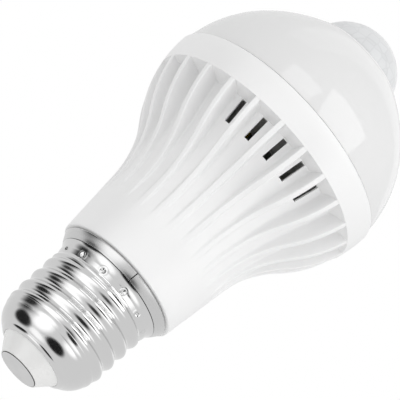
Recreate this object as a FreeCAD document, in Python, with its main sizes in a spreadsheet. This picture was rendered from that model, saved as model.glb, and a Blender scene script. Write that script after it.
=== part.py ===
import FreeCAD, Part
import math
import os

import Sketcher

# Motion sensor bulb: screw cap below, ribbed bell housing, frosted globe and a sensor lens on top.
# Millimetres, +Z from the cap to the lens, origin in the middle of the centre contact's outer face.
# The X axis points through the middle one of five vent slots.

os.makedirs("parts", exist_ok=True)

SIZES = {
    # Centre contact, insulator and solder
    "contact_radius": 4.9,
    "contact_thickness": 0.5,
    "contact_proud": 0.15,
    "contact_fit": 0.05,
    "eyelet_radius": 1.6,
    "eyelet_bore": 0.9,
    "eyelet_floor": 1.2,
    "eyelet_collar_radius": 2.4,
    "eyelet_collar_thickness": 0.3,
    "insulator_face_radius": 5.15,
    "insulator_radius": 7.9,
    "insulator_cone_height": 3.8,
    "insulator_neck_height": 0.6,
    "insulator_height": 7.0,
    "insulator_top_inset": 2.0,
    "solder_radius": 1.7,
    "solder_height": 0.7,
    # Screw shell
    "shell_wall": 0.35,
    "shell_fit": 0.15,
    "lip_fit": 0.05,
    "lip_bend_inset": 2.9,
    "lip_bend_height": 0.75,
    "lip_bend": 1.8,
    "shoulder_inset": 0.9,
    "shoulder_height": 4.4,
    "lead_in_height": 1.67,
    "lead_in_bend": 4.0,
    "thread_crest_radius": 13.1,
    "thread_depth": 0.75,
    "thread_pitch": 3.629,
    "thread_turns": 4,
    "skirt_inset": 0.5,
    "skirt_height": 1.3,
    "flare_foot_inset": 0.15,
    "flare_foot_height": 1.1,
    "skirt_flare": 0.5,
    "flare_height": 1.63,
    "skirt_bend": 3.2,
    "dimple_count": 13,
    "dimple_size": 1.0,
    "dimple_depth": 0.22,
    "dimple_below_top": 1.9,
    "dimple_turn": 7.4,
    # Split collar ring
    "ring_height": 2.35,
    "ring_lower_radius": 14.1,
    "ring_upper_radius": 14.85,
    "ring_crown": 1.45,
    "ring_wall": 0.4,
    "ring_inner_radius": 13.0,
    "ring_seam": 1.2,
    "ring_seam_turn": 3.1,
    "ring_fit": 0.06,
    # Housing outline
    "nose_inset": 1.25,
    "nose_wall": 1.4,
    "spigot_wall": 1.4,
    "neck_radius": 15.67,
    "neck_length": 15.8,
    "neck_wall": 1.8,
    "neck_floor": 1.6,
    "waist_radius": 17.17,
    "flare_length": 14.2,
    "flare_middle_radius": 22.87,
    "flare_bend": 27.0,
    "bell_length": 11.7,
    "bell_bend": 29.7,
    "rim_height": 6.8,
    "rim_radius": 29.2,
    "rim_step": 0.7,
    "rim_crown": 26.4,
    "rim_wall": 1.9,
    "rim_edge": 0.35,
    # Fins, gaps between them and vent slots
    "fin_count": 24,
    "fin_thickness": 1.3,
    "fin_sink": 0.6,
    "gap_start": 10.1,
    "gap_foot_height": 16.8,
    "gap_foot_inset": 0.57,
    "gap_bend": 74.0,
    "gap_side_drop": 6.1,
    "gap_side_inset": 6.7,
    "gap_end_inset": 4.5,
    "gap_wall": 1.4,
    "slot_count": 5,
    "slot_width": 1.2,
    "slot_length": 5.6,
    "slot_below_rim": 0.55,
    # Board seat and screws
    "screw_margin": 1.2,
    "boss_radius": 2.4,
    "boss_height": 8.2,
    "screw_radius": 1.25,
    "screw_length": 7.0,
    "screw_head_radius": 2.3,
    "screw_head_height": 1.4,
    "recess_length": 2.6,
    "recess_width": 0.7,
    "recess_depth": 0.8,
    "screw_fit": 0.1,
    # Globe
    "globe_wall": 1.3,
    "globe_inset": 0.45,
    "globe_base_step": 1.4,
    "globe_side_inset": 6.45,
    "globe_side_height": 16.3,
    "globe_side_bend": 27.8,
    "globe_side_slope": 42.0,
    "globe_top_margin": 1.5,
    "globe_top_height": 7.6,
    "globe_top_bend": 37.0,
    "globe_lip_width": 0.7,
    "globe_lip_height": 0.8,
    "globe_lip_bend": 2.2,
    "globe_lip_round": 0.4,
    "globe_fit": 0.12,
    "skirt_wall": 1.2,
    # Sensor lens
    "lens_radius": 11.45,
    "lens_wall": 0.7,
    "lens_fit": 0.15,
    "lens_flange_radius": 12.9,
    "lens_flange_thickness": 0.8,
    "lens_seat_depth": 1.6,
    "lens_seat_margin": 0.25,
    # Light board
    "board_thickness": 1.6,
    "board_fit": 0.15,
    "board_bore": 7.0,
    "led_count": 18,
    "led_inset": 3.9,
    "led_length": 5.6,
    "led_width": 3.0,
    "led_height": 0.7,
    "phosphor_length": 4.4,
    "phosphor_width": 2.2,
    "phosphor_height": 0.15,
    # Sensor stack
    "post_radius": 8.6,
    "post_wall": 1.0,
    "post_foot_radius": 10.4,
    "post_foot_height": 1.4,
    "sensor_depth": 5.3,
    "sensor_board_radius": 10.2,
    "sensor_board_thickness": 1.0,
    "sensor_flange_radius": 4.75,
    "sensor_flange_height": 0.4,
    "sensor_can_radius": 4.15,
    "sensor_can_height": 3.9,
    "sensor_can_round": 0.5,
    "window_length": 4.0,
    "window_width": 3.0,
    "window_depth": 0.3,
    "photocell_radius": 1.5,
    "photocell_height": 3.2,
    "photocell_place": 7.4,
    "amplifier_length": 9.8,
    "amplifier_width": 3.9,
    "amplifier_height": 1.5,
    # Driver board and what stands on it
    "driver_side_fit": 0.55,
    "driver_lift": 1.6,
    "driver_thickness": 1.2,
    "driver_length": 42.0,
    "rail_depth": 1.9,
    "rail_width": 1.0,
    "rail_length": 18.0,
    "rail_fit": 0.08,
    "film_place": 7.6,
    "film_length": 9.0,
    "film_width": 12.0,
    "film_height": 5.0,
    "bulk_place": 18.9,
    "bulk_radius": 4.0,
    "bulk_length": 11.6,
    "leg_radius": 0.3,
    "leg_spacing": 3.2,
    "leg_length": 0.9,
    "core_below_top": 9.4,
    "core_length": 8.0,
    "core_width": 12.0,
    "core_depth": 5.0,
    "core_yoke": 2.4,
    "core_leg": 2.4,
    "coil_overhang": 2.0,
    "coil_fit": 0.08,
    "outlet_below_top": 6.0,
    "outlet_side": 5.4,
    "outlet_radius": 2.5,
    "outlet_height": 7.0,
    "bridge_place": 12.0,
    "bridge_length": 4.7,
    "bridge_width": 4.0,
    "bridge_height": 2.5,
    "chip_place": 24.0,
    "chip_length": 4.9,
    "chip_width": 3.9,
    "chip_height": 1.5,
    "fuse_place": 19.5,
    "fuse_radius": 1.3,
    "fuse_length": 7.0,
    # Leads
    "lead_radius": 0.5,
    "lead_hole_fit": 0.15,
    "lead_tip": 0.4,
    "lead_bend_limit": 6.0,
    "live_side": 2.5,
    "live_rise": 0.9,
    "live_offset": 3.2,
    "live_climb": 2.6,
    "live_pad_height": 5.0,
    "neutral_side": 3.0,
    "neutral_rise": 1.3,
    "neutral_offset": 6.0,
    "neutral_pad_height": 4.4,
    "pad_below_top": 3.0,
    "pad_stand_off": 2.4,
    "lead_climb": 9.0,
    "led_lead_side": 7.5,
    "led_lead_offset": 10.6,
    "sensor_lead_pitch": 2.0,
    "sensor_lead_offset": 4.6,
}

doc = FreeCAD.newDocument("motion_sensor_bulb")
sheet = doc.addObject("Spreadsheet::Sheet", "dim")
for row, (alias, amount) in enumerate(SIZES.items(), start=1):
    sheet.set(f"A{row}", str(amount))
    sheet.setAlias(f"A{row}", alias)
doc.recompute()

# Heights above the contact face, as formulas of the sheet
LIP = "dim.insulator_cone_height"
SHOULDER = f"({LIP} + dim.shoulder_height)"
THREAD_START = f"({SHOULDER} + dim.lead_in_height)"
THREAD_END = f"({THREAD_START} + dim.thread_pitch * (dim.thread_turns - 0.5))"
SKIRT = f"({THREAD_END} + dim.skirt_height)"
SKIRT_FLARE = f"({SKIRT} + dim.flare_foot_height)"
SKIRT_TOP = f"({SKIRT_FLARE} + dim.flare_height)"
RING_BASE = f"({SKIRT_TOP} + dim.shell_wall + dim.ring_fit)"
RING_TOP = f"({RING_BASE} + dim.ring_height)"
NECK_BASE = f"({RING_TOP} + dim.ring_fit)"
WAIST = f"({NECK_BASE} + dim.neck_length)"
FLARE_MIDDLE = f"({WAIST} + dim.flare_length)"
GAP_END = f"({FLARE_MIDDLE} + dim.bell_length)"
SHELF = f"({GAP_END} + dim.gap_wall)"
RIM_TOP = f"({GAP_END} + dim.rim_height)"
BOARD_TOP = f"({SHELF} + dim.board_thickness)"
GLOBE_BASE = f"({RIM_TOP} + dim.globe_fit)"
GLOBE_SIDE = f"({GLOBE_BASE} + dim.globe_side_height)"
GLOBE_TOP = f"({GLOBE_SIDE} + dim.globe_top_height)"
GLOBE_LIP = f"({GLOBE_TOP} + dim.globe_lip_height)"
LENS_SEAT = f"({GLOBE_TOP} - dim.lens_seat_depth)"
POST_TOP = f"({LENS_SEAT} - dim.sensor_depth)"
SENSOR_FACE = f"({POST_TOP} + dim.sensor_board_thickness)"
DRIVER_BASE = f"({THREAD_START} + dim.driver_lift)"
DRIVER_TOP = f"({DRIVER_BASE} + dim.driver_length)"
BOARD_FACE = "(dim.driver_thickness / 2)"

# Radii that mating pieces share
THREAD_MIDDLE = "(dim.thread_crest_radius - dim.thread_depth / 2)"
SHOULDER_RADIUS = "(dim.thread_crest_radius - dim.shoulder_inset)"
SKIRT_RADIUS = "(dim.thread_crest_radius - dim.skirt_inset)"
FLARE_FOOT_RADIUS = "(dim.thread_crest_radius - dim.flare_foot_inset)"
SKIRT_TOP_RADIUS = "(dim.thread_crest_radius + dim.skirt_flare)"
SPIGOT = "(dim.thread_crest_radius - dim.thread_depth - dim.shell_wall - dim.shell_fit)"
NOSE_RADIUS = f"({SPIGOT} - dim.nose_inset)"
SPIGOT_BORE = f"({SPIGOT} - dim.spigot_wall)"
DRIVER_HALF_WIDTH = f"({SPIGOT_BORE} - dim.driver_side_fit)"
RIM_BORE = "(dim.rim_radius - dim.rim_wall)"
BELL_RADIUS = "(dim.rim_radius - dim.rim_step)"
GAP_FOOT_RADIUS = "(dim.waist_radius - dim.gap_foot_inset)"
GAP_SIDE_RADIUS = f"({BELL_RADIUS} - dim.gap_side_inset)"
GAP_END_RADIUS = f"({BELL_RADIUS} - dim.gap_end_inset)"
LED_CIRCLE = f"({RIM_BORE} - dim.led_inset)"
SCREW_CIRCLE = f"({LED_CIRCLE} - dim.led_width / 2 - dim.screw_head_radius - dim.screw_margin)"
GLOBE_BASE_RADIUS = "(dim.rim_radius - dim.globe_inset)"
GLOBE_SIDE_RADIUS = f"({GLOBE_BASE_RADIUS} - dim.globe_side_inset)"
LENS_BORE = "(dim.lens_radius + dim.lens_fit)"
GLOBE_LIP_RADIUS = f"({LENS_BORE} + dim.globe_lip_width)"
GLOBE_TOP_RADIUS = f"({GLOBE_LIP_RADIUS} + dim.globe_top_margin)"
GLOBE_SKIRT = f"({RIM_BORE} - dim.globe_fit)"
GAP_START = f"({NECK_BASE} + dim.gap_start)"
NECK_SLOPE = "(dim.waist_radius - dim.neck_radius) / dim.neck_length"
GAP_START_RADIUS = f"(dim.neck_radius + {NECK_SLOPE} * dim.gap_start)"
GAP_FOOT = f"({NECK_BASE} + dim.gap_foot_height)"
GAP_SIDE = f"({GAP_END} - dim.gap_side_drop)"


def number(formula):
    """Value of a sheet formula as a plain number of millimetres or degrees."""
    result = sheet.evalExpression(formula)
    return float(getattr(result, "Value", result))


class Outline:
    """Lines and arcs in a sketch, with corners and bends held by the sheet."""

    def __init__(self, across, up):
        self.corners = [(across, up)]
        self.bends = []

    def line(self, across, up):
        self.corners.append((across, up))
        self.bends.append(None)
        return self

    def arc(self, across, up, radius, side):
        """Arc that bulges to the right (side 1) or the left (side -1) of its chord."""
        self.corners.append((across, up))
        self.bends.append((radius, side))
        return self

    def close(self):
        return self.line(*self.corners[0])

    def draw(self, sketch):
        points = [FreeCAD.Vector(number(a), number(b), 0) for a, b in self.corners]
        for start, end, bend in zip(points, points[1:], self.bends):
            sketch.addGeometry(edge_between(start, end, bend))
        ends = [edge_ends(sketch, i, points[i]) for i in range(len(self.bends))]
        joints = [Sketcher.Constraint("Coincident", i, ends[i][1], i + 1, ends[i + 1][0])
                  for i in range(len(ends) - 1)]
        closed = (points[-1] - points[0]).Length < 1e-7
        if closed:
            joints.append(Sketcher.Constraint("Coincident", len(ends) - 1, ends[-1][1], 0, ends[0][0]))
        sketch.addConstraint(joints)
        held = [(i, ends[i][0]) for i in range(len(ends))]
        if not closed:
            held.append((len(ends) - 1, ends[-1][1]))
        for corner, (edge, end) in enumerate(held):
            hold_corner(sketch, corner, edge, end, self.corners[corner])
        for edge, bend in enumerate(self.bends):
            if bend:
                hold(sketch, Sketcher.Constraint("Radius", edge, number(bend[0])), f"bend{edge}", bend[0])


def edge_between(start, end, bend):
    if not bend:
        return Part.LineSegment(start, end)
    radius = number(bend[0])
    chord = end - start
    rise = radius - math.sqrt(radius ** 2 - chord.Length ** 2 / 4)
    right = FreeCAD.Vector(chord.y, -chord.x, 0).normalize()
    return Part.Arc(start, (start + end) / 2 + right * rise * bend[1], end)


def edge_ends(sketch, edge, start):
    """Numbers of an edge's first and last point, as the sketch counts them."""
    if (sketch.getPoint(edge, 1) - start).Length < 1e-6:
        return 1, 2
    return 2, 1


def hold(sketch, constraint, name, formula):
    index = sketch.addConstraint(constraint)
    sketch.renameConstraint(index, name)
    sketch.setExpression(f"Constraints.{name}", formula)


def hold_corner(sketch, corner, edge, end, formulas):
    for kind, axis, formula in (("DistanceX", -2, formulas[0]), ("DistanceY", -1, formulas[1])):
        distance = number(formula)
        if abs(distance) < 1e-9:
            sketch.addConstraint(Sketcher.Constraint("PointOnObject", edge, end, axis))
        else:
            name = f"{'across' if axis == -2 else 'up'}{corner}"
            hold(sketch, Sketcher.Constraint(kind, -1, 1, edge, end, distance), name, formula)


def origin_feature(body, role):
    return next(item for item in body.Origin.OriginFeatures if item.Role == role)


def body_sketch(body, name, role="XZ_Plane", lift=None, turn=0.0):
    """Sketch on one of the body's own planes, lifted along or turned about its vertical."""
    sketch = body.newObject("Sketcher::SketchObject", name)
    sketch.AttachmentSupport = (origin_feature(body, role), [""])
    sketch.MapMode = "FlatFace"
    sketch.AttachmentOffset = FreeCAD.Placement(
        FreeCAD.Vector(0, 0, 0), FreeCAD.Rotation(FreeCAD.Vector(0, 1, 0), turn))
    if lift:
        sketch.setExpression("AttachmentOffset.Base.z", lift)
    return sketch


def turned_body(label, outline):
    """Piece of revolution about the bulb's axis."""
    body = doc.addObject("PartDesign::Body", label)
    sketch = body_sketch(body, f"{label}_section")
    outline.draw(sketch)
    turn = body.newObject("PartDesign::Revolution", f"{label}_turn")
    turn.Profile = sketch
    turn.ReferenceAxis = (sketch, ["V_Axis"])
    turn.Angle = 360
    body.Tip = turn
    doc.recompute()
    return body


def pattern(body, name, original, count, angle=360.0):
    """Copies of a feature about the bulb's axis."""
    copies = body.newObject("PartDesign::PolarPattern", name)
    copies.Originals = [original]
    copies.Axis = (origin_feature(body, "Z_Axis"), [""])
    copies.Angle = angle
    copies.setExpression("Occurrences", count)
    body.Tip = copies
    doc.recompute()
    return copies


def primitive(kind, name, sizes, place=("0", "0", "0"), turn=None, body=None):
    """Block, cylinder, cone or ball whose sizes and place follow the sheet."""
    shape = body.newObject(kind, name) if body else doc.addObject(kind, name)
    for size, formula in sizes.items():
        shape.setExpression(size, formula)
    if turn:
        shape.Placement = FreeCAD.Placement(FreeCAD.Vector(0, 0, 0), turn)
    for axis, formula in zip("xyz", place):
        shape.setExpression(f"Placement.Base.{axis}", formula)
    return shape


def subtract(label, base, tool):
    cut = doc.addObject("Part::Cut", label)
    cut.Base = base
    cut.Tool = tool
    return cut


def join(label, pieces):
    union = doc.addObject("Part::MultiFuse", label)
    union.Shapes = pieces
    return union


def group(label, pieces):
    """Separate solids that share one node."""
    together = doc.addObject("Part::Compound", label)
    together.Links = pieces
    return together


def about_z(angle):
    return FreeCAD.Rotation(FreeCAD.Vector(0, 0, 1), angle)


ALONG_X = FreeCAD.Rotation(FreeCAD.Vector(0, 1, 0), 90)
UPRIGHT = FreeCAD.Rotation(FreeCAD.Vector(1, 0, 0), 90)


def build_centre_contact():
    outline = Outline("0", "0")
    outline.line("dim.contact_radius", "0")
    outline.line("dim.contact_radius", "dim.contact_thickness")
    outline.line("dim.eyelet_radius", "dim.contact_thickness")
    outline.line("dim.eyelet_radius", "dim.insulator_height")
    outline.line("dim.eyelet_collar_radius", "dim.insulator_height")
    collar_top = "dim.insulator_height + dim.eyelet_collar_thickness"
    outline.line("dim.eyelet_collar_radius", collar_top)
    outline.line("dim.eyelet_bore", collar_top)
    outline.line("dim.eyelet_bore", "dim.eyelet_floor")
    outline.line("0", "dim.eyelet_floor").close()
    return turned_body("centre_contact", outline)


def build_cap_insulator():
    seat_radius = "dim.contact_radius + dim.contact_fit"
    outline = Outline("dim.eyelet_radius", "dim.contact_thickness")
    outline.line(seat_radius, "dim.contact_thickness")
    outline.line(seat_radius, "dim.contact_proud")
    outline.line("dim.insulator_face_radius", "dim.contact_proud")
    outline.line("dim.insulator_radius", LIP)
    outline.line("dim.insulator_radius", f"{LIP} + dim.insulator_neck_height")
    outline.line(f"{SHOULDER_RADIUS} - dim.insulator_top_inset", "dim.insulator_height")
    outline.line("dim.eyelet_radius", "dim.insulator_height").close()
    return turned_body("cap_insulator", outline)


def build_contact_solder():
    base = "dim.insulator_height + dim.eyelet_collar_thickness"
    return primitive("Part::Cone", "contact_solder",
                     {"Radius1": "dim.solder_radius", "Radius2": "dim.lead_radius",
                      "Height": "dim.solder_height"}, ("0", "0", base))


def build_screw_shell():
    """Rolled sheet: lip, shoulder, thread turns as plain rings, crimped skirt with a flared top."""
    bend = "((dim.thread_pitch / 4)^2 + (dim.thread_depth / 2)^2) / dim.thread_depth"
    outline = Outline("dim.insulator_radius + dim.lip_fit", LIP)
    outline.arc(f"{SHOULDER_RADIUS} - dim.lip_bend_inset", f"{LIP} + dim.lip_bend_height",
                "dim.lip_bend", 1)
    outline.line(SHOULDER_RADIUS, SHOULDER)
    outline.arc(THREAD_MIDDLE, THREAD_START, "dim.lead_in_bend", 1)
    for half_turn in range(2 * SIZES["thread_turns"] - 1):
        height = f"{THREAD_START} + dim.thread_pitch * {(half_turn + 1) / 2}"
        outline.arc(THREAD_MIDDLE, height, bend, 1 if half_turn % 2 == 0 else -1)
    outline.arc(SKIRT_RADIUS, SKIRT, bend, -1)
    outline.line(FLARE_FOOT_RADIUS, SKIRT_FLARE)
    outline.arc(SKIRT_TOP_RADIUS, SKIRT_TOP, "dim.skirt_bend", -1)
    shell = sheet_metal("screw_shell_blank", outline, "dim.shell_wall")
    dimples = []
    for mark in range(SIZES["dimple_count"]):
        angle = f"(dim.dimple_turn + {mark} * 360 / dim.dimple_count)"
        reach = f"({FLARE_FOOT_RADIUS} + dim.dimple_size - dim.dimple_depth)"
        dimples.append(primitive("Part::Sphere", f"dimple_{mark + 1}", {"Radius": "dim.dimple_size"},
                                 (f"{reach} * cos({angle})", f"{reach} * sin({angle})",
                                  f"{SKIRT_TOP} - dim.dimple_below_top")))
    return subtract("screw_shell", shell, group("dimples", dimples))


def sheet_metal(label, outline, wall, sweep="360"):
    """Thin wall inside an open outline, turned about the bulb's axis."""
    sketch = doc.addObject("Sketcher::SketchObject", f"{label}_line")
    sketch.Placement = FreeCAD.Placement(FreeCAD.Vector(0, 0, 0), UPRIGHT)
    outline.draw(sketch)
    section = doc.addObject("Part::Offset2D", f"{label}_section")
    section.Source = sketch
    section.Mode = "Skin"
    section.Fill = True
    section.setExpression("Value", wall)
    turn = doc.addObject("Part::Revolution", label)
    turn.Source = section
    turn.Axis = (0, 0, 1)
    turn.Base = (0, 0, 0)
    turn.Solid = True
    turn.setExpression("Angle", sweep)
    doc.recompute()
    return turn


def build_collar_ring():
    """Rolled ring between shell and housing, with a butt seam."""
    outline = Outline("dim.ring_inner_radius", RING_BASE)
    outline.line("dim.ring_lower_radius", RING_BASE)
    outline.arc("dim.ring_upper_radius", RING_TOP, "dim.ring_crown", 1)
    outline.line("dim.ring_inner_radius", RING_TOP)
    ring = sheet_metal("collar_ring", outline, "dim.ring_wall", "360 - dim.ring_seam")
    ring.Placement = FreeCAD.Placement(FreeCAD.Vector(0, 0, 0), about_z(1.0))
    ring.setExpression("Placement.Rotation.Angle", "dim.ring_seam_turn")
    return ring


def housing_outline():
    nose_bore = f"{NOSE_RADIUS} - dim.nose_wall"
    outline = Outline(nose_bore, "dim.insulator_height")
    outline.line(NOSE_RADIUS, "dim.insulator_height")
    outline.line(NOSE_RADIUS, THREAD_START)
    outline.line(SPIGOT, THREAD_START)
    outline.line(SPIGOT, RING_BASE)
    outline.line("dim.ring_inner_radius - dim.ring_fit", RING_BASE)
    outline.line("dim.ring_inner_radius - dim.ring_fit", NECK_BASE)
    outline.line("dim.neck_radius", NECK_BASE)
    outline.line(GAP_START_RADIUS, GAP_START)
    outline.line(GAP_FOOT_RADIUS, GAP_FOOT)
    outline.arc(GAP_SIDE_RADIUS, GAP_SIDE, "dim.gap_bend", -1)
    outline.line(GAP_END_RADIUS, GAP_END)
    outline.line(BELL_RADIUS, GAP_END)
    outline.arc("dim.rim_radius", f"{RIM_TOP} - dim.rim_edge", "dim.rim_crown", 1)
    outline.arc("dim.rim_radius - dim.rim_edge", RIM_TOP, "dim.rim_edge", 1)
    outline.line(RIM_BORE, RIM_TOP)
    outline.line(RIM_BORE, SHELF)
    outline.line(f"{GAP_END_RADIUS} - dim.gap_wall", SHELF)
    outline.line(f"{GAP_SIDE_RADIUS} - dim.gap_wall", GAP_SIDE)
    outline.arc(f"{GAP_FOOT_RADIUS} - dim.gap_wall", GAP_FOOT, "dim.gap_bend", 1)
    outline.line("dim.neck_radius - dim.neck_wall", f"{NECK_BASE} + dim.neck_floor")
    outline.line(SPIGOT_BORE, NECK_BASE)
    outline.line(SPIGOT_BORE, THREAD_START)
    outline.line(nose_bore, THREAD_START)
    return outline.close()


def fin_outline():
    """Side view of one fin: crest along the bell, root sunk into the gap's floor."""
    top = f"{GAP_END} + dim.fin_sink"
    outline = Outline(GAP_START_RADIUS, GAP_START)
    outline.line("dim.waist_radius", WAIST)
    outline.arc("dim.flare_middle_radius", FLARE_MIDDLE, "dim.flare_bend", -1)
    outline.arc(BELL_RADIUS, GAP_END, "dim.bell_bend", 1)
    outline.line(BELL_RADIUS, top)
    outline.line(f"{GAP_END_RADIUS} - dim.fin_sink", top)
    outline.line(f"{GAP_SIDE_RADIUS} - dim.fin_sink", GAP_SIDE)
    outline.arc(f"{GAP_FOOT_RADIUS} - dim.fin_sink", GAP_FOOT, "dim.gap_bend", 1)
    outline.line(f"{GAP_START_RADIUS} - dim.fin_sink", GAP_START)
    return outline.close()


def add_fins(body):
    sketch = body_sketch(body, "fin_section", turn=180.0 / SIZES["fin_count"])
    fin_outline().draw(sketch)
    fin = body.newObject("PartDesign::Pad", "fin")
    fin.Profile = sketch
    fin.SideType = "Symmetric"
    fin.setExpression("Length", "dim.fin_thickness")
    body.Tip = fin
    doc.recompute()
    pattern(body, "fins", fin, "dim.fin_count")


def add_slots(body):
    """Two groups of vent slots, on opposite sides, through the floors of neighbouring gaps."""
    step = 360.0 / SIZES["fin_count"]
    spread = step * (SIZES["slot_count"] - 1)
    for side, start in (("front", -spread / 2), ("back", 180.0 - spread / 2)):
        sketch = body_sketch(body, f"slot_section_{side}", "YZ_Plane", turn=start)
        top = f"{GAP_END} - dim.slot_below_rim"
        corner = "(dim.slot_width / 2)"
        slot = Outline(f"-{corner}", f"{top} - dim.slot_length")
        slot.line(corner, f"{top} - dim.slot_length").line(corner, top).line(f"-{corner}", top).close()
        slot.draw(sketch)
        cut = body.newObject("PartDesign::Pocket", f"slot_{side}")
        cut.Profile = sketch
        cut.Reversed = True
        cut.setExpression("Length", "dim.rim_radius")
        body.Tip = cut
        doc.recompute()
        pattern(body, f"slots_{side}", cut, "dim.slot_count", spread)


def add_board_mounting(body):
    """Screw bosses under the light board, rails for the driver board and a notch for the neutral lead."""
    for side, name in ((1, "left"), (-1, "right")):
        place = ("0", f"{side} * {SCREW_CIRCLE}", f"{SHELF} - dim.boss_height")
        primitive("PartDesign::AdditiveCylinder", f"boss_{name}",
                  {"Radius": "dim.boss_radius", "Height": "dim.boss_height"}, place, body=body)
        hole = ("0", f"{side} * {SCREW_CIRCLE}", f"{SHELF} - dim.screw_length")
        primitive("PartDesign::SubtractiveCylinder", f"boss_hole_{name}",
                  {"Radius": "dim.screw_radius", "Height": "dim.screw_length"}, hole, body=body)
    length = "(dim.rail_depth + dim.spigot_wall / 2)"
    inner = f"({SPIGOT_BORE} - dim.rail_depth)"
    away = f"({BOARD_FACE} + dim.rail_fit)"
    for side, across in (("right", inner), ("left", f"-{inner} - {length}")):
        for face, along in (("front", away), ("back", f"-{away} - dim.rail_width")):
            primitive("PartDesign::AdditiveBox", f"rail_{side}_{face}",
                      {"Length": length, "Width": "dim.rail_width", "Height": "dim.rail_length"},
                      (across, along, THREAD_START), body=body)
    notch = "(dim.lead_radius + dim.lead_hole_fit)"
    primitive("PartDesign::SubtractiveBox", "neutral_notch",
              {"Length": f"2 * {notch}", "Width": NOSE_RADIUS,
               "Height": f"dim.neutral_rise + {notch}"},
              (f"dim.neutral_side - {notch}", "0", "dim.insulator_height"), body=body)
    doc.recompute()


def build_housing():
    """One moulded piece: spigot, neck, ribbed bell, rim with board shelf, slots and bosses."""
    body = turned_body("housing", housing_outline())
    add_board_mounting(body)
    add_fins(body)
    add_slots(body)
    return body


def build_globe():
    inner_side = (f"{GLOBE_SIDE_RADIUS} - dim.globe_wall * cos(dim.globe_side_slope)",
                  f"{GLOBE_SIDE} - dim.globe_wall * sin(dim.globe_side_slope)")
    skirt_bottom = f"{BOARD_TOP} + dim.lip_fit"
    outline = Outline(f"{GLOBE_SKIRT} - dim.skirt_wall", skirt_bottom)
    outline.line(GLOBE_SKIRT, skirt_bottom)
    outline.line(GLOBE_SKIRT, GLOBE_BASE)
    outline.line(GLOBE_BASE_RADIUS, GLOBE_BASE)
    outline.arc(GLOBE_SIDE_RADIUS, GLOBE_SIDE, "dim.globe_side_bend", 1)
    outline.arc(GLOBE_TOP_RADIUS, GLOBE_TOP, "dim.globe_top_bend", 1)
    outline.arc(GLOBE_LIP_RADIUS, GLOBE_LIP, "dim.globe_lip_bend", 1)
    outline.arc(LENS_BORE, f"{GLOBE_LIP} - dim.globe_lip_round", "dim.globe_wall", 1)
    outline.line(LENS_BORE, LENS_SEAT)
    outline.line("dim.lens_flange_radius + dim.lens_seat_margin", LENS_SEAT)
    outline.arc(*inner_side, "dim.globe_top_bend - dim.globe_wall", -1)
    outline.arc(f"{GLOBE_BASE_RADIUS} - dim.globe_wall", f"{GLOBE_BASE} + dim.globe_base_step",
                "dim.globe_side_bend - dim.globe_wall", -1)
    outline.line(f"{GLOBE_SKIRT} - dim.skirt_wall", GLOBE_BASE)
    return turned_body("globe", outline.close())


def build_sensor_lens():
    inner = "(dim.lens_radius - dim.lens_wall)"
    flange_base = f"({LENS_SEAT} - dim.lens_flange_thickness)"
    outline = Outline("dim.lens_flange_radius", flange_base)
    outline.line("dim.lens_flange_radius", LENS_SEAT)
    outline.line("dim.lens_radius", LENS_SEAT)
    outline.arc("0", f"{LENS_SEAT} + dim.lens_radius", "dim.lens_radius", 1)
    outline.line("0", f"{LENS_SEAT} + {inner}")
    outline.arc(inner, LENS_SEAT, inner, -1)
    outline.line(inner, flange_base)
    return turned_body("sensor_lens", outline.close())


def build_led_board():
    outer = f"({RIM_BORE} - dim.board_fit)"
    outline = Outline("dim.board_bore", SHELF)
    outline.line(outer, SHELF).line(outer, BOARD_TOP).line("dim.board_bore", BOARD_TOP)
    body = turned_body("led_board", outline.close())
    holes = [("0", SCREW_CIRCLE, "dim.screw_radius + dim.screw_fit"),
             ("0", f"-{SCREW_CIRCLE}", "dim.screw_radius + dim.screw_fit"),
             ("dim.led_lead_side", "dim.led_lead_offset", "dim.lead_radius + dim.lead_hole_fit"),
             ("-dim.led_lead_side", "dim.led_lead_offset", "dim.lead_radius + dim.lead_hole_fit")]
    for count, (across, along, radius) in enumerate(holes, start=1):
        primitive("PartDesign::SubtractiveCylinder", f"board_hole_{count}",
                  {"Radius": radius, "Height": "dim.board_thickness"}, (across, along, SHELF), body=body)
    doc.recompute()
    return body


def ring_of_blocks(label, length, width, height, base):
    """Flat blocks on the light circle, each with its long side along the circle."""
    blocks = []
    for mark in range(SIZES["led_count"]):
        angle = (mark + 0.5) * 360.0 / SIZES["led_count"]
        along = f"({length} / 2)"
        inner = f"({LED_CIRCLE} - {width} / 2)"
        place = (f"{inner} * cos({angle}) + {along} * sin({angle})",
                 f"{inner} * sin({angle}) - {along} * cos({angle})", base)
        blocks.append(primitive("Part::Box", f"{label}_{mark + 1}",
                                {"Length": width, "Width": length, "Height": height}, place, about_z(angle)))
    return group(label, blocks)


def build_leds():
    ring_of_blocks("led_packages", "dim.led_length", "dim.led_width", "dim.led_height", BOARD_TOP)
    return ring_of_blocks("led_phosphors", "dim.phosphor_length", "dim.phosphor_width",
                          "dim.phosphor_height", f"{BOARD_TOP} + dim.led_height")


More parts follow.
